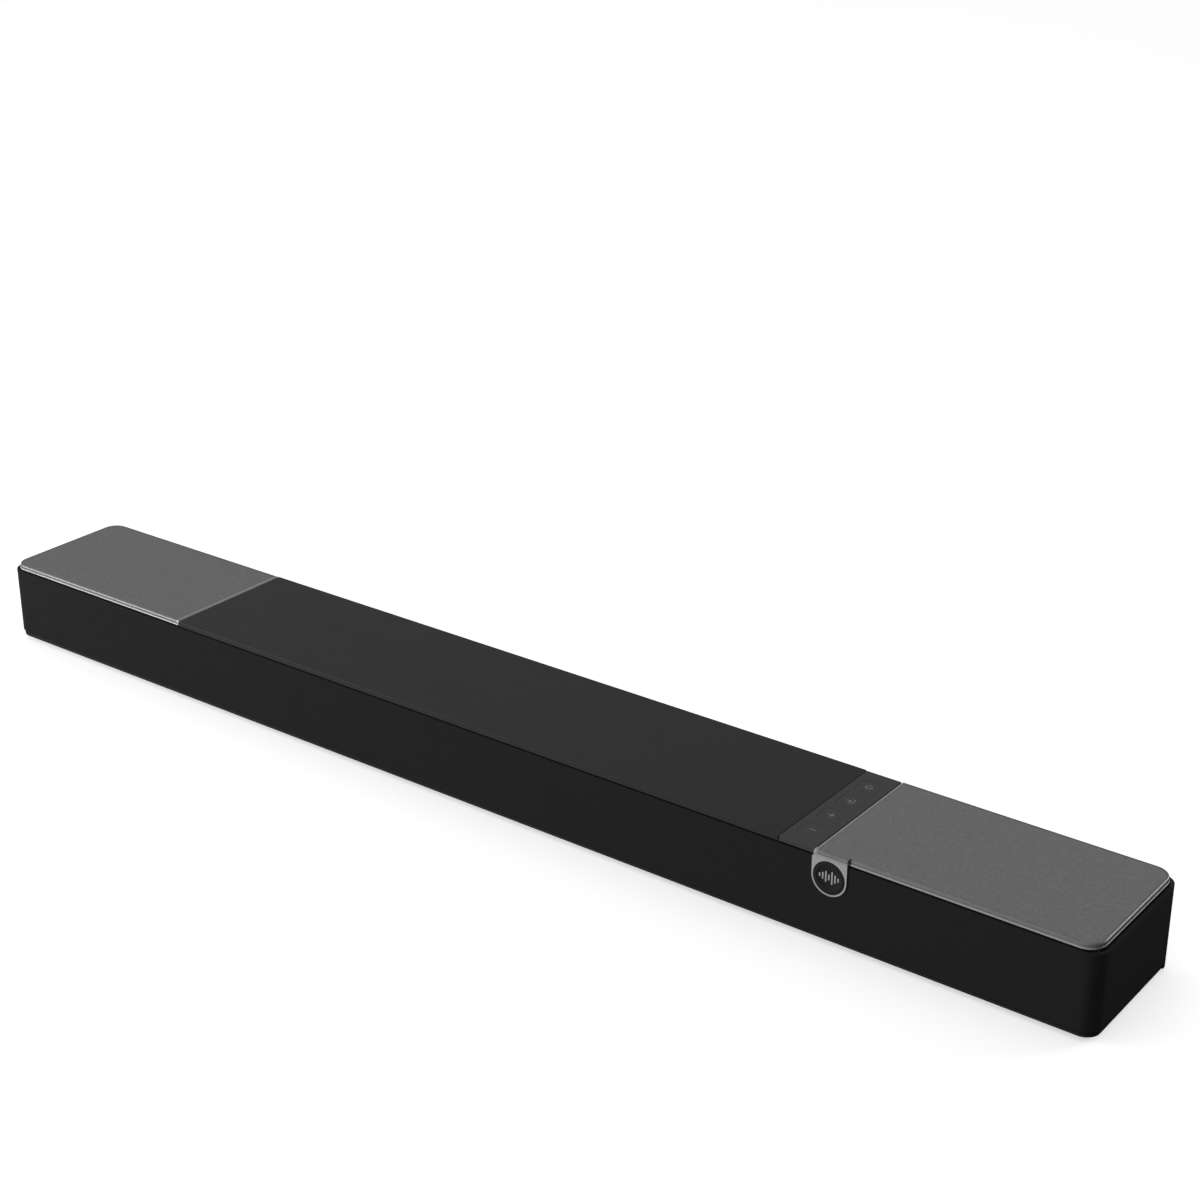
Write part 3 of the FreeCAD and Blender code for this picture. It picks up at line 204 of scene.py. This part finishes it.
def moulded(name, colour, rough, grain, deep, vary=0.08, metallic=0.0, **uniform):
    """Moulded plastic or paint: a fine grain, soft patches and uneven gloss."""
    f = Finish(name, metallic, **uniform)
    patches = f.noise(MOULDED_PATCH, 3.0)
    fine = f.noise(grain)
    mixed = f.math("MULTIPLY_ADD", fine, 0.5, f.math("MULTIPLY", patches, 0.5))
    f.colour(f.tint(f.spread(mixed), shade(colour, 1 - vary), shade(colour, 1 + vary)))
    f.rough(f.spread(mixed, rough - MOULDED_GLOSS, rough + MOULDED_GLOSS))
    f.relief(fine, deep)
    return f.material


THREAD_WANDER = 0.6            # how far a thread strays, against the pitch
THREAD_WANDER_SIZE = 9 * MM
THREAD_ROUND = 0.6             # below 1 the humps are flatter on top
THREAD_FUZZ = 0.35             # height of the fuzz, against a hump
THREAD_FUZZ_SIZE = 0.4         # against the pitch
CLOTH_GLOSS = 0.04


def woven(name, colour, pitch_u, pitch_v, u, v, rough, deep, vary, mottle=(12 * MM, 0.2),
          **uniform):
    """A plain weave. u and v say how to read the cloth's own directions from a finish.

    The mottle is the size and the strength of its uneven patches."""
    f = Finish(name, **uniform)
    wander = f.math("MULTIPLY", f.noise(THREAD_WANDER_SIZE), THREAD_WANDER * pitch_u)
    along = f.math("ADD", u(f), wander)
    across = f.math("SUBTRACT", v(f), wander)
    wave_u = f.math("SINE", f.math("MULTIPLY", along, math.pi / pitch_u))
    wave_v = f.math("SINE", f.math("MULTIPLY", across, math.pi / pitch_v))
    checker = f.math("MULTIPLY", wave_u, wave_v)
    hump = f.math("POWER", f.math("ABSOLUTE", checker), THREAD_ROUND)
    fuzz = f.noise(THREAD_FUZZ_SIZE * pitch_u, 3.0)
    height = f.math("MULTIPLY_ADD", fuzz, THREAD_FUZZ, hump)
    thread = f.between(checker, -0.4, 0.4, 0.35, 0.65)
    # Painted shade: the thread colour is darker in the dips between humps and lighter on their
    # crowns.
    hump_shade = f.math("MULTIPLY", thread, f.math("MULTIPLY_ADD", hump, 0.6, 0.55))
    patches = f.noise(mottle[0], 3.0)
    uneven = f.math("MULTIPLY", f.math("SUBTRACT", patches, 0.5), mottle[1])
    f.colour(f.tint(f.math("ADD", uneven, hump_shade), shade(colour, 1 - vary),
                    shade(colour, 1 + vary)))
    f.rough(f.spread(patches, rough - CLOTH_GLOSS, rough + CLOTH_GLOSS))
    f.relief(height, deep)
    return f.material


BRUSH_SMEAR = 6 * MM
BRUSH_DEEP = 0.02 * MM


def brushed(name, colour, rough, line, stretch, **uniform):
    """Metal with brush lines that are long where the stretch is small."""
    f = Finish(name, 1.0, **uniform)
    lines = f.noise(line, 4.0, f.stretched(*stretch))
    smear = f.noise(BRUSH_SMEAR)
    f.colour(f.tint(f.spread(lines), shade(colour, 0.86), shade(colour, 1.1)))
    f.rough(f.spread(f.math("MULTIPLY_ADD", smear, 0.4, f.math("MULTIPLY", lines, 0.6)),
                     rough - 0.08, rough + 0.1))
    f.relief(lines, BRUSH_DEEP)
    return f.material


def round_cloth(f):
    """Distance along the cloth as it goes from the front round the ends."""
    return f.math("SUBTRACT", f.math("ABSOLUTE", f.axis("X")), f.axis("Y"))


TOP = cad_box[1].z
SEAM_EDGE = span("right_cover")[0].x               # both covers end here, left and right
COVER_FRONT = span("left_cover")[0].y
LIP_TOP = span("left_cover")[0].z + 1.5 * MM
# The lightest grey is both the painted highlight at seam and lip and the bare metal of worn edges.
COVER_DARK, COVER_LIGHT, COVER_HIGHLIGHT_AND_WEAR = grey(0.155), grey(0.205), grey(0.38)
SEAM_HIGHLIGHT, LIP_HIGHLIGHT, EDGE_BARE = 0.8, 0.85, 0.35   # how much painted highlight shows at seam and lip, and how much bare metal at worn edges
FLAKE = 1.6 * MM


def cover_paint():
    """Grey metallic paint with fine flakes, a painted highlight along the seam and the front lip,
    and bare metal at worn edges.
    """
    f = Finish("cover_paint", 0.4, Specular_IOR_Level=0.3)
    flakes = f.noise(FLAKE, 3.0)
    patches = f.noise(14 * MM, 3.0)
    share = f.math("MULTIPLY_ADD", flakes, 0.75, f.math("MULTIPLY", patches, 0.25))
    base = f.tint(f.spread(share), COVER_DARK, COVER_LIGHT)
    near_edge = f.between(f.axis("Z"), TOP - 1.6 * MM, TOP - 0.4 * MM, 1.0, 0.0)
    rubbed = f.math("MULTIPLY", near_edge, f.between(f.noise(2.5 * MM, 4.0), 0.62, 0.75))
    # Painted highlight: lighter paint within 2 to 3 mm of the seam, where the rounded edge would
    # catch the light.
    seam = f.between(f.math("ABSOLUTE", f.axis("X")), SEAM_EDGE + 2 * MM, SEAM_EDGE + 3 * MM,
                     SEAM_HIGHLIGHT, 0.0)
    # Painted highlight: lighter paint along the bottom of the front lip.
    low_down = f.between(f.axis("Z"), LIP_TOP, LIP_TOP + 0.3 * MM, LIP_HIGHLIGHT, 0.0)
    in_front = f.between(f.axis("Y"), COVER_FRONT + 2 * MM, COVER_FRONT + 6 * MM, 1.0, 0.0)
    lip_highlight = f.math("MULTIPLY", low_down, in_front)
    # The painted highlights at seam and lip, together with the worn patches.
    highlight_and_wear = f.math("MAXIMUM", f.math("MAXIMUM", seam, lip_highlight), f.math("MULTIPLY", rubbed, EDGE_BARE))
    f.colour(f.tint(highlight_and_wear, base, COVER_HIGHLIGHT_AND_WEAR))
    f.rough(f.spread(share, 0.3, 0.4))
    f.relief(f.noise(0.35 * MM), 0.03 * MM)
    return f.material


TRACK_PITCH, TRACK_BREAK = 1.3 * MM, 9 * MM
MASK_DARK, MASK_LIGHT = (0.006, 0.05, 0.022), (0.02, 0.12, 0.05)


def circuit_board(name):
    """Green solder mask with faint, broken tracks."""
    f = Finish(name)
    track = f.math("SINE", f.math("MULTIPLY", f.axis("X"), math.pi / TRACK_PITCH))
    step = f.math("SINE", f.math("MULTIPLY", f.axis("Y"), math.pi / TRACK_BREAK))
    lines = f.between(f.math("MULTIPLY", track, step), 0.25, 0.35)
    f.colour(f.tint(f.math("MULTIPLY", lines, 0.8), MASK_DARK, MASK_LIGHT))
    f.rough(f.spread(f.noise(4 * MM), 0.3, 0.42))
    f.relief(lines, 0.03 * MM)
    return f.material


FOAM_PORE = 1.4 * MM


def foam_cells():
    """Open foam: painted shade in the pores, lighter walls and soft patches."""
    f = Finish("open_foam")
    pores = f.cells(FOAM_PORE)
    patches = f.noise(16 * MM, 3.0)
    # Painted shade: the colour darkens towards each pore's middle.
    f.colour(f.tint(f.between(f.math("MULTIPLY_ADD", patches, 0.5, pores), 0.2, 1.0),
                    grey(0.06), grey(0.2)))
    f.rough(f.between(pores, 0.1, 0.8, 0.95, 0.85))
    f.relief(pores, 0.5 * MM)
    return f.material


def make_finishes():
    """One finish for each of the record's material slots."""
    return {
        "shell": moulded("shell_plastic", grey(0.009), 0.55, 0.5 * MM, 0.05 * MM,
                         Specular_IOR_Level=0.2),
        "inner_shell": moulded("inner_plastic", grey(0.016), 0.6, 0.8 * MM, 0.05 * MM),
        "lid": moulded("lid_plastic", grey(0.0265), 0.5, 0.45 * MM, 0.03 * MM, vary=0.06,
                       Specular_IOR_Level=0.12),
        "control_strip": moulded("strip_plastic", grey(0.054), 0.46, 0.4 * MM, 0.02 * MM,
                                 vary=0.05, Specular_IOR_Level=0.12),
        "cover_rim": cover_paint(),
        "cover_mesh": woven("cover_fabric", grey(0.182), 0.75 * MM, 0.75 * MM,
                            lambda f: f.axis("X"), lambda f: f.axis("Y"), 0.75, 0.05 * MM, 0.2,
                            (2.2 * MM, 1.3), Specular_IOR_Level=0.15),
        "grille_cloth": woven("grille_knit", grey(0.0145), 1.1 * MM, 0.9 * MM, round_cloth,
                              lambda f: f.axis("Z"), 0.85, 0.12 * MM, 0.35, Specular_IOR_Level=0.1),
        "badge_metal": brushed("badge_steel", grey(0.5), 0.3, 1.2 * MM, (1, 1, 9)),
        "badge_face": moulded("badge_enamel", grey(0.011), 0.35, 0.8 * MM, 0.01 * MM,
                              Specular_IOR_Level=0.12),
        "key_caps": moulded("key_plastic", grey(0.054), 0.44, 0.4 * MM, 0.015 * MM, vary=0.05,
                            Specular_IOR_Level=0.12),
        "key_print": moulded("key_ink", grey(0.24), 0.6, 0.3 * MM, 0.01 * MM,
                             Specular_IOR_Level=0.2),
        "rubber": moulded("foot_rubber", grey(0.012), 0.8, 0.6 * MM, 0.08 * MM),
        "driver_steel": moulded("frame_paint", grey(0.03), 0.4, 0.7 * MM, 0.03 * MM, metallic=0.3),
        "magnet": moulded("magnet_plating", grey(0.12), 0.4, 1.5 * MM, 0.04 * MM, metallic=0.8),
        "cone": moulded("cone_paper", grey(0.035), 0.85, 1.1 * MM, 0.2 * MM, vary=0.15),
        "surround": moulded("surround_rubber", grey(0.01), 0.6, 0.9 * MM, 0.03 * MM),
        "dome": brushed("dome_metal", grey(0.6), 0.25, 2 * MM, (1, 1, 1)),
        "horn": moulded("horn_plastic", grey(0.012), 0.3, 1.0 * MM, 0.01 * MM),
        "circuit": circuit_board("circuit_mask"),
        "heatsink": brushed("heatsink_metal", grey(0.5), 0.35, 0.8 * MM, (0.1, 1, 1)),
        "socket_metal": brushed("socket_nickel", grey(0.6, 0.03), 0.3, 0.6 * MM, (1, 0.2, 1)),
        "socket_plastic": moulded("socket_nylon", grey(0.012), 0.5, 0.6 * MM, 0.02 * MM),
        "wire": moulded("wire_sheath", grey(0.015), 0.5, 1.5 * MM, 0.03 * MM),
        "foam": foam_cells(),
        "brass": brushed("insert_brass", (0.72, 0.52, 0.22), 0.3, 0.5 * MM, (1, 0.2, 1)),
        "screw": moulded("screw_oxide", grey(0.03), 0.35, 0.4 * MM, 0.02 * MM, metallic=0.7),
    }


def dress_nodes(finishes):
    """Give every CAD node the finish of its slot, and smooth its round faces."""
    slots = {part["node"]: part["material_slot"] for part in frame["record"]["subparts"]}
    for name, node in nodes.items():
        node.data.materials.clear()
        node.data.materials.append(finishes[slots[name]])
        smooth(node.data)


# ---- Shapes ----
SHARP_FROM = 35.0              # degrees; a steeper edge stays sharp


def smooth(mesh):
    mesh.shade_smooth()
    mesh.set_sharp_from_angle(angle=math.radians(SHARP_FROM))


def piece(name, points, faces, finish, body="cabinet", node=None):
    """A new piece that rides on a body, takes a slot's finish and may stand for a node."""
    mesh = bpy.data.meshes.new(name)
    mesh.from_pydata(points, [], faces)
    mesh.validate()
    mesh.update()
    smooth(mesh)
    mesh.materials.append(finish)
    made = bpy.data.objects.new(name, mesh)
    bpy.context.scene.collection.objects.link(made)
    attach(made, body)
    if node:
        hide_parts(node)
    return made


def swept(path, profile):
    """Points and faces of a closed profile of (inward, height) carried along an open plan path.

    The path is a list of (point, inward direction). Both its ends are capped."""
    points = [(p.x + n.x * d, p.y + n.y * d, z) for p, n in path for d, z in profile]
    faces, m = [], len(profile)
    for i in range(len(path) - 1):
        a, b = i * m, (i + 1) * m
        for j in range(m):
            k = (j + 1) % m
            faces.append((a + j, a + k, b + k, b + j))
    faces.append(tuple(range(m)))
    faces.append(tuple(reversed(range((len(path) - 1) * m, len(path) * m))))
    return points, faces


CORNER_STEPS = 12
SIDE_STEPS = 8
FRONT_STEPS = 110
QUARTER_STEPS = 4


def arc(centre, radius, start, stop):
    """Points of a plan arc with the direction towards its centre, angles in degrees."""
    made = []
    for i in range(CORNER_STEPS + 1):
        angle = math.radians(start + (stop - start) * i / CORNER_STEPS)
        out = Vector((math.cos(angle), math.sin(angle)))
        made.append((Vector(centre) + out * radius, -out))
    return made


def straight(start, end, inward, steps):
    """Points along a plan line, without its two ends."""
    start, end = Vector(start), Vector(end)
    return [(start.lerp(end, i / steps), Vector(inward)) for i in range(1, steps)]


def round_front(x0, x1, y0, y1, radius):
    """The plan path from the rear of the right end, round the front, to the rear of the left."""
    path = [(Vector((x1, y1)), Vector((-1, 0)))]
    path += straight((x1, y1), (x1, y0 + radius), (-1, 0), SIDE_STEPS)
    path += arc((x1 - radius, y0 + radius), radius, 0, -90)
    path += straight((x1 - radius, y0), (x0 + radius, y0), (0, 1), FRONT_STEPS)
    path += arc((x0 + radius, y0 + radius), radius, -90, -180)
    path += straight((x0, y0 + radius), (x0, y1), (1, 0), SIDE_STEPS)
    path.append((Vector((x0, y1)), Vector((1, 0))))
    return path


def turn(start, stop, steps):
    """Equally spaced angles in radians, from angles in degrees."""
    return [math.radians(start + (stop - start) * i / steps) for i in range(steps + 1)]


def quarter(centre, radius, start, stop):
    """Points of a quarter round in an (inward, height) profile."""
    return [(centre[0] + radius * math.cos(a), centre[1] + radius * math.sin(a))
            for a in turn(start, stop, QUARTER_STEPS)]


# ---- Cloth ----
CLOTH_THICK = 0.8 * MM
BODY_CORNER = 13.0 * MM
CLOTH_TOP_ROUND = 0.7 * MM
CLOTH_FOOT_ROUND = 1.6 * MM
CLOTH_WRAP = 0.25 * MM         # height of the fold above the frame
CLOTH_FOLD = 3.0 * MM          # reach of the fold over the frame, from the front
CLOTH_GAP = 0.02 * MM          # between the fold and the frame


def make_grille_cloth(finishes):
    """The front cloth: rounded at its foot, and folded over the top of the frame."""
    low, high = span("grille_cloth")
    foot = quarter((CLOTH_FOOT_ROUND, low.z + CLOTH_FOOT_ROUND), CLOTH_FOOT_ROUND, 270, 180)
    profile = [(CLOTH_THICK, low.z)] + [(d, z) for d, z in foot if d < CLOTH_THICK]
    profile += quarter((CLOTH_TOP_ROUND, high.z - CLOTH_TOP_ROUND + CLOTH_WRAP),
                       CLOTH_TOP_ROUND, 180, 90)
    profile += [(CLOTH_FOLD, high.z + CLOTH_WRAP), (CLOTH_FOLD, high.z + CLOTH_GAP),
                (CLOTH_THICK, high.z + CLOTH_GAP)]
    path = round_front(low.x, high.x, low.y, high.y, BODY_CORNER)
    points, faces = swept(path, profile)
    cloth = piece("grille_knit", points, faces, finishes["grille_cloth"],
                  node="grille_cloth")


def cover_plan(low, high, radius, side, inset):
    """A cover's closed plan path: square at the seam, rounded at the bar's end."""
    r = radius - inset
    x_end = (high.x if side > 0 else low.x) - side * inset
    x_seam = (low.x if side > 0 else high.x) + side * inset
    y0, y1 = low.y + inset, high.y - inset
    if side > 0:
        round_end = (arc((x_end - r, y0 + r), r, -90, 0)
                     + arc((x_end - r, y1 - r), r, 0, 90))
        seam = [Vector((x_seam, y1)), Vector((x_seam, y0))]
    else:
        round_end = (arc((x_end + r, y1 - r), r, 90, 180)
                     + arc((x_end + r, y0 + r), r, 180, 270))
        seam = [Vector((x_seam, y0)), Vector((x_seam, y1))]
    return [p for p, _ in round_end] + seam


def stacked(rings):
    """Faces between equal rings of points, closed at both ends."""
    m = len(rings[0])
    points = [p for ring in rings for p in ring]
    faces = [tuple(reversed(range(m)))]
    for i in range(len(rings) - 1):
        for j in range(m):
            k = (j + 1) % m
            faces.append((i * m + j, i * m + k, (i + 1) * m + k, (i + 1) * m + j))
    faces.append(tuple(range((len(rings) - 1) * m, len(rings) * m)))
    return points, faces


MESH_CORNER = 12.0 * MM
MESH_EDGE = 0.25 * MM          # rounding of the top edge
MESH_BEND = 0.3 * MESH_EDGE    # the middle of that rounding, down and in
MESH_MARGIN = 6 * MESH_EDGE    # a ring of faces inside the rounding


def make_cover_fabric(finishes):
    """A thin stretched fabric in each cover's opening."""
    for side, name in ((1, "right"), (-1, "left")):
        node = name + "_cover_mesh"
        low, high = span(node)
        levels = [(0.0, low.z), (0.0, high.z - MESH_EDGE), (MESH_BEND, high.z - MESH_BEND),
                  (MESH_EDGE, high.z), (MESH_MARGIN, high.z)]
        rings = [[(p.x, p.y, z) for p in cover_plan(low, high, MESH_CORNER, side, inset)]
                 for inset, z in levels]
        points, faces = stacked(rings)
        made = piece(name + "_cover_fabric", points, faces, finishes["cover_mesh"],
                     node=node)


# ---- Badge ----
BADGE_STEPS = 72
BADGE_RISE = 0.12 * MM
# The face's raised rings: millimetres in from its edge, and the share of the rise.
BADGE_RINGS = ((2.6, 0), (2.5, 0.5), (2.2, 0.5), (2.1, 0), (0.5, 0), (0.35, 1), (0.05, 1),
               (0, 0.5))
BAR_HEIGHTS = (3.2, 6.0, 9.2, 5.0, 10.6, 6.8, 3.6)     # millimetres
BAR_PITCH, BAR_HALF = 2.6 * MM, 0.62 * MM
BAR_LIFT = 0.6 * MM            # the row's middle, above the disc's
BAR_LEVELS = ((0.0, 1.0), (0.10, 1.0), (0.14, 0.75))   # millimetres of rise, share of the width
BAR_TAPER = 0.2                # how much of that narrowing the bar's height takes part in
BAR_STEPS = 10                 # in a bar's round end


def make_badge_face(finishes):
    """A turned face with a rim and a fine inner ring."""
    low, high = span("badge_disc")
    centre = (low + high) / 2
    radius = (high.x - low.x) / 2
    profile = [(radius - inset * MM, low.y - share * BADGE_RISE) for inset, share in BADGE_RINGS]
    profile.append((radius, high.y))
    points, faces, m = [], [], len(profile)
    for i in range(BADGE_STEPS):
        angle = 2 * math.pi * i / BADGE_STEPS
        points += [(centre.x + r * math.cos(angle), y, centre.z + r * math.sin(angle))
                   for r, y in profile]
    for i in range(BADGE_STEPS):
        a, b = i * m, ((i + 1) % BADGE_STEPS) * m
        faces += [(a + j, b + j, b + j + 1, a + j + 1) for j in range(m - 1)]
    faces.append(tuple(i * m for i in reversed(range(BADGE_STEPS))))
    faces.append(tuple(i * m + m - 1 for i in range(BADGE_STEPS)))
    piece("badge_face", points, faces, finishes["badge_face"], node="badge_disc")


def make_badge_bars(finishes):
    """A generic mark of seven level bars that stand on the badge's face."""
    low, high = span("badge_disc")
    centre = (low + high) / 2
    for number, tall in enumerate(BAR_HEIGHTS):
        x = centre.x + (number - len(BAR_HEIGHTS) // 2) * BAR_PITCH
        z = centre.z + BAR_LIFT
        outline = [(BAR_HALF * math.cos(a), tall * MM / 2 - BAR_HALF + BAR_HALF * math.sin(a))
                   for a in turn(0, 180, BAR_STEPS)]
        outline += [(-px, -pz) for px, pz in outline]
        rings = [[(x + px * k, low.y - rise * MM, z + pz * (1 - (1 - k) * BAR_TAPER))
                  for px, pz in reversed(outline)] for rise, k in BAR_LEVELS]
        points, faces = stacked(rings)
        piece("badge_bar_%d" % (number + 1), points, faces, finishes["badge_metal"])


# ---- Key prints ----
PRINT_RISE = 0.05 * MM
PRINT_SIZE = 3.0 * MM          # half of a mark's width
PRINT_LINE = 0.36 * MM         # half of a line's width
PRINT_RING_STEPS = 28


def ribbon(points, half):
    """A flat outline that follows a line of plan points at half a width to each side."""
    left, right = [], []
    for i, point in enumerate(points):
        before, after = points[max(i - 1, 0)], points[min(i + 1, len(points) - 1)]
        way = (Vector(after) - Vector(before)).normalized()
        across = Vector((-way.y, way.x)) * half
        left.append(Vector(point) + across)
        right.append(Vector(point) - across)
    return left + right[::-1]


def ring_line(radius, start, stop):
    """Points of an open ring, angles in degrees."""
    return [(radius * math.cos(a), radius * math.sin(a))
            for a in turn(start, stop, PRINT_RING_STEPS)]


def key_marks():
    """Strokes of each key's mark, in units of its half width."""
    return {
        "power": [ring_line(0.85, 125, 415), [(0, 0.25), (0, 1.15)]],
        "source": [[(-0.1, 0.95), (0.95, 0.95), (0.95, -0.95), (-0.1, -0.95)],
                   [(-1.1, 0), (0.13, 0)], [(-0.15, 0.45), (0.33, 0), (-0.15, -0.45)]],
        "volume_up": [[(-0.95, 0), (0.95, 0)], [(0, -0.95), (0, -0.12)], [(0, 0.12), (0, 0.95)]],
        "volume_down": [[(-0.95, 0), (0.95, 0)]],
    }


def make_key_prints(finishes):
    """A thin raised print on each key: power, source, plus and minus."""
    for key, strokes in key_marks().items():
        node = key + "_button"
        low, high = span(node)
        centre = (low + high) / 2
        points, faces = [], []
        for stroke in strokes:
            line = [Vector(p) * PRINT_SIZE for p in stroke]
            outline = ribbon(line, PRINT_LINE)
            first, m = len(points), len(outline)
            for z in (high.z, high.z + PRINT_RISE):
                points += [(centre.x + p.x, centre.y + p.y, z) for p in outline]
            half = m // 2
            for i in range(half - 1):
                a, b = first + i, first + m - 1 - i
                faces.append((a + m, b + m, b + m - 1, a + m + 1))
                faces.append((a, a + 1, b - 1, b))
            for i in range(m):
                k = (i + 1) % m
                faces.append((first + i, first + i + m, first + k + m, first + k))
        piece(key + "_print", points, faces, finishes["key_print"], body=node)


# ---- Damping foam ----
FOAM_INNER = 502.0 * MM        # from the bar's middle to a block's near face
FOAM_ROUND = 5.0 * MM
FOAM_POWER = 0.22              # squareness of a block's plan shape
FOAM_SAG = 0.4 * MM            # half of the deepest dent
FOAM_LOBES, FOAM_TWIST = 5, 0.7        # dents round a block, and their turn from row to row
FOAM_ROWS, FOAM_STEPS = 14, 64


def squared(value):
    """A sine or cosine pushed outward, which turns a circle into a rounded square."""
    return math.copysign(abs(value) ** FOAM_POWER, value)


def make_foam(finishes):
    """Two soft blocks with rounded edges and slightly uneven faces."""
    low, high = span("damping_foam")
    for side, name in ((1, "right"), (-1, "left")):
        x0, x1 = (FOAM_INNER, high.x) if side > 0 else (low.x, -FOAM_INNER)
        y_mid, x_mid = (low.y + high.y) / 2, (x0 + x1) / 2
        half_x, half_y = (x1 - x0) / 2, (high.y - low.y) / 2
        rings = []
        for row in range(FOAM_ROWS + 1):
            z = low.z + (high.z - low.z) * row / FOAM_ROWS
            rim = max(0.0, FOAM_ROUND - min(z - low.z, high.z - z)) / FOAM_ROUND
            shrink = FOAM_ROUND * (1 - math.sqrt(max(0.0, 1 - rim * rim)))
            ring = []
            for step in range(FOAM_STEPS):
                angle = 2 * math.pi * (step + 0.5) / FOAM_STEPS
                sag = FOAM_SAG * (1 + math.sin(FOAM_LOBES * angle + FOAM_TWIST * row))
                ring.append((x_mid + squared(math.cos(angle)) * (half_x - shrink - sag),
                             y_mid + squared(math.sin(angle)) * (half_y - shrink - sag), z))
            rings.append(ring)
        points, faces = stacked(rings)
        made = piece(name + "_damping_foam", points, faces, finishes["foam"],
                     node="damping_foam")


# ---- Stage ----
WORLD_LEVEL = 0.38
WORLD_SLOPE = (-0.33, -0.22, 0.2)
WORLD_LEAST = 0.02
FLOOR_GLOW = 0.5               # the floor is a light table
FLOOR_HALF = 30.0              # metres
FLOOR_PATCH = 0.5              # metres
# Name, place, target, width and height in metres, power in watts.
SOFTBOXES = (
    ("left_softbox", (-1.95, -1.5, 0.42), (-0.5, 0, 0.05), 1.3, 0.8, 36),
    ("back_softbox", (1.5, 1.9, 0.75), (0.4, 0, 0.05), 1.4, 0.4, 22),
)


def make_world():
    """A soft surround, brightest above the front left and dimmer to the right and the rear."""
    world = bpy.data.worlds.new("studio")
    world.use_nodes = True
    bpy.context.scene.world = world
    tree = world.node_tree
    ground = tree.nodes["Background"]
    place = tree.nodes.new("ShaderNodeTexCoord")
    lean = tree.nodes.new("ShaderNodeVectorMath")
    lean.operation = "DOT_PRODUCT"
    lean.inputs[1].default_value = WORLD_SLOPE
    raised = tree.nodes.new("ShaderNodeMath")
    raised.operation = "ADD"
    raised.inputs[1].default_value = WORLD_LEVEL
    level = tree.nodes.new("ShaderNodeMath")
    level.operation = "MAXIMUM"
    level.inputs[1].default_value = WORLD_LEAST
    tree.links.new(place.outputs["Generated"], lean.inputs[0])
    tree.links.new(lean.outputs["Value"], raised.inputs[0])
    tree.links.new(raised.outputs[0], level.inputs[0])
    tree.links.new(level.outputs[0], ground.inputs["Strength"])
    ground.inputs["Color"].default_value = (1, 1, 1, 1)


def softbox(name, place, target, wide, tall, power):
    """A rectangular lamp that faces its target."""
    data = bpy.data.lights.new(name, "AREA")
    data.shape = "RECTANGLE"
    data.size, data.size_y = wide, tall
    data.energy = power
    lamp = bpy.data.objects.new(name, data)
    lamp.location = place
    lamp.rotation_euler = (Vector(target) - Vector(place)).to_track_quat("-Z", "Y").to_euler()
    bpy.context.scene.collection.objects.link(lamp)


def make_floor():
    """A white floor that lights nothing else and isn't seen in reflections."""
    half = FLOOR_HALF
    mesh = bpy.data.meshes.new("floor")
    mesh.from_pydata([(-half, -half, 0), (half, -half, 0), (half, half, 0), (-half, half, 0)], [],
                     [(0, 1, 2, 3)])
    f = Finish("floor_paint", Emission_Color=(1, 1, 1, 1), Emission_Strength=FLOOR_GLOW)
    f.colour(f.tint(f.noise(FLOOR_PATCH), grey(0.93), grey(0.95)))
    f.rough(0.9)
    mesh.materials.append(f.material)
    floor = bpy.data.objects.new("floor", mesh)
    bpy.context.scene.collection.objects.link(floor)
    floor.visible_diffuse = False
    floor.visible_glossy = False


make_camera()
bpy.context.scene.view_settings.view_transform = "Standard"
finishes = make_finishes()
dress_nodes(finishes)
make_grille_cloth(finishes)
make_cover_fabric(finishes)
make_badge_face(finishes)
make_badge_bars(finishes)
make_key_prints(finishes)
make_foam(finishes)
make_world()
make_floor()
for lamp in SOFTBOXES:
    softbox(*lamp)
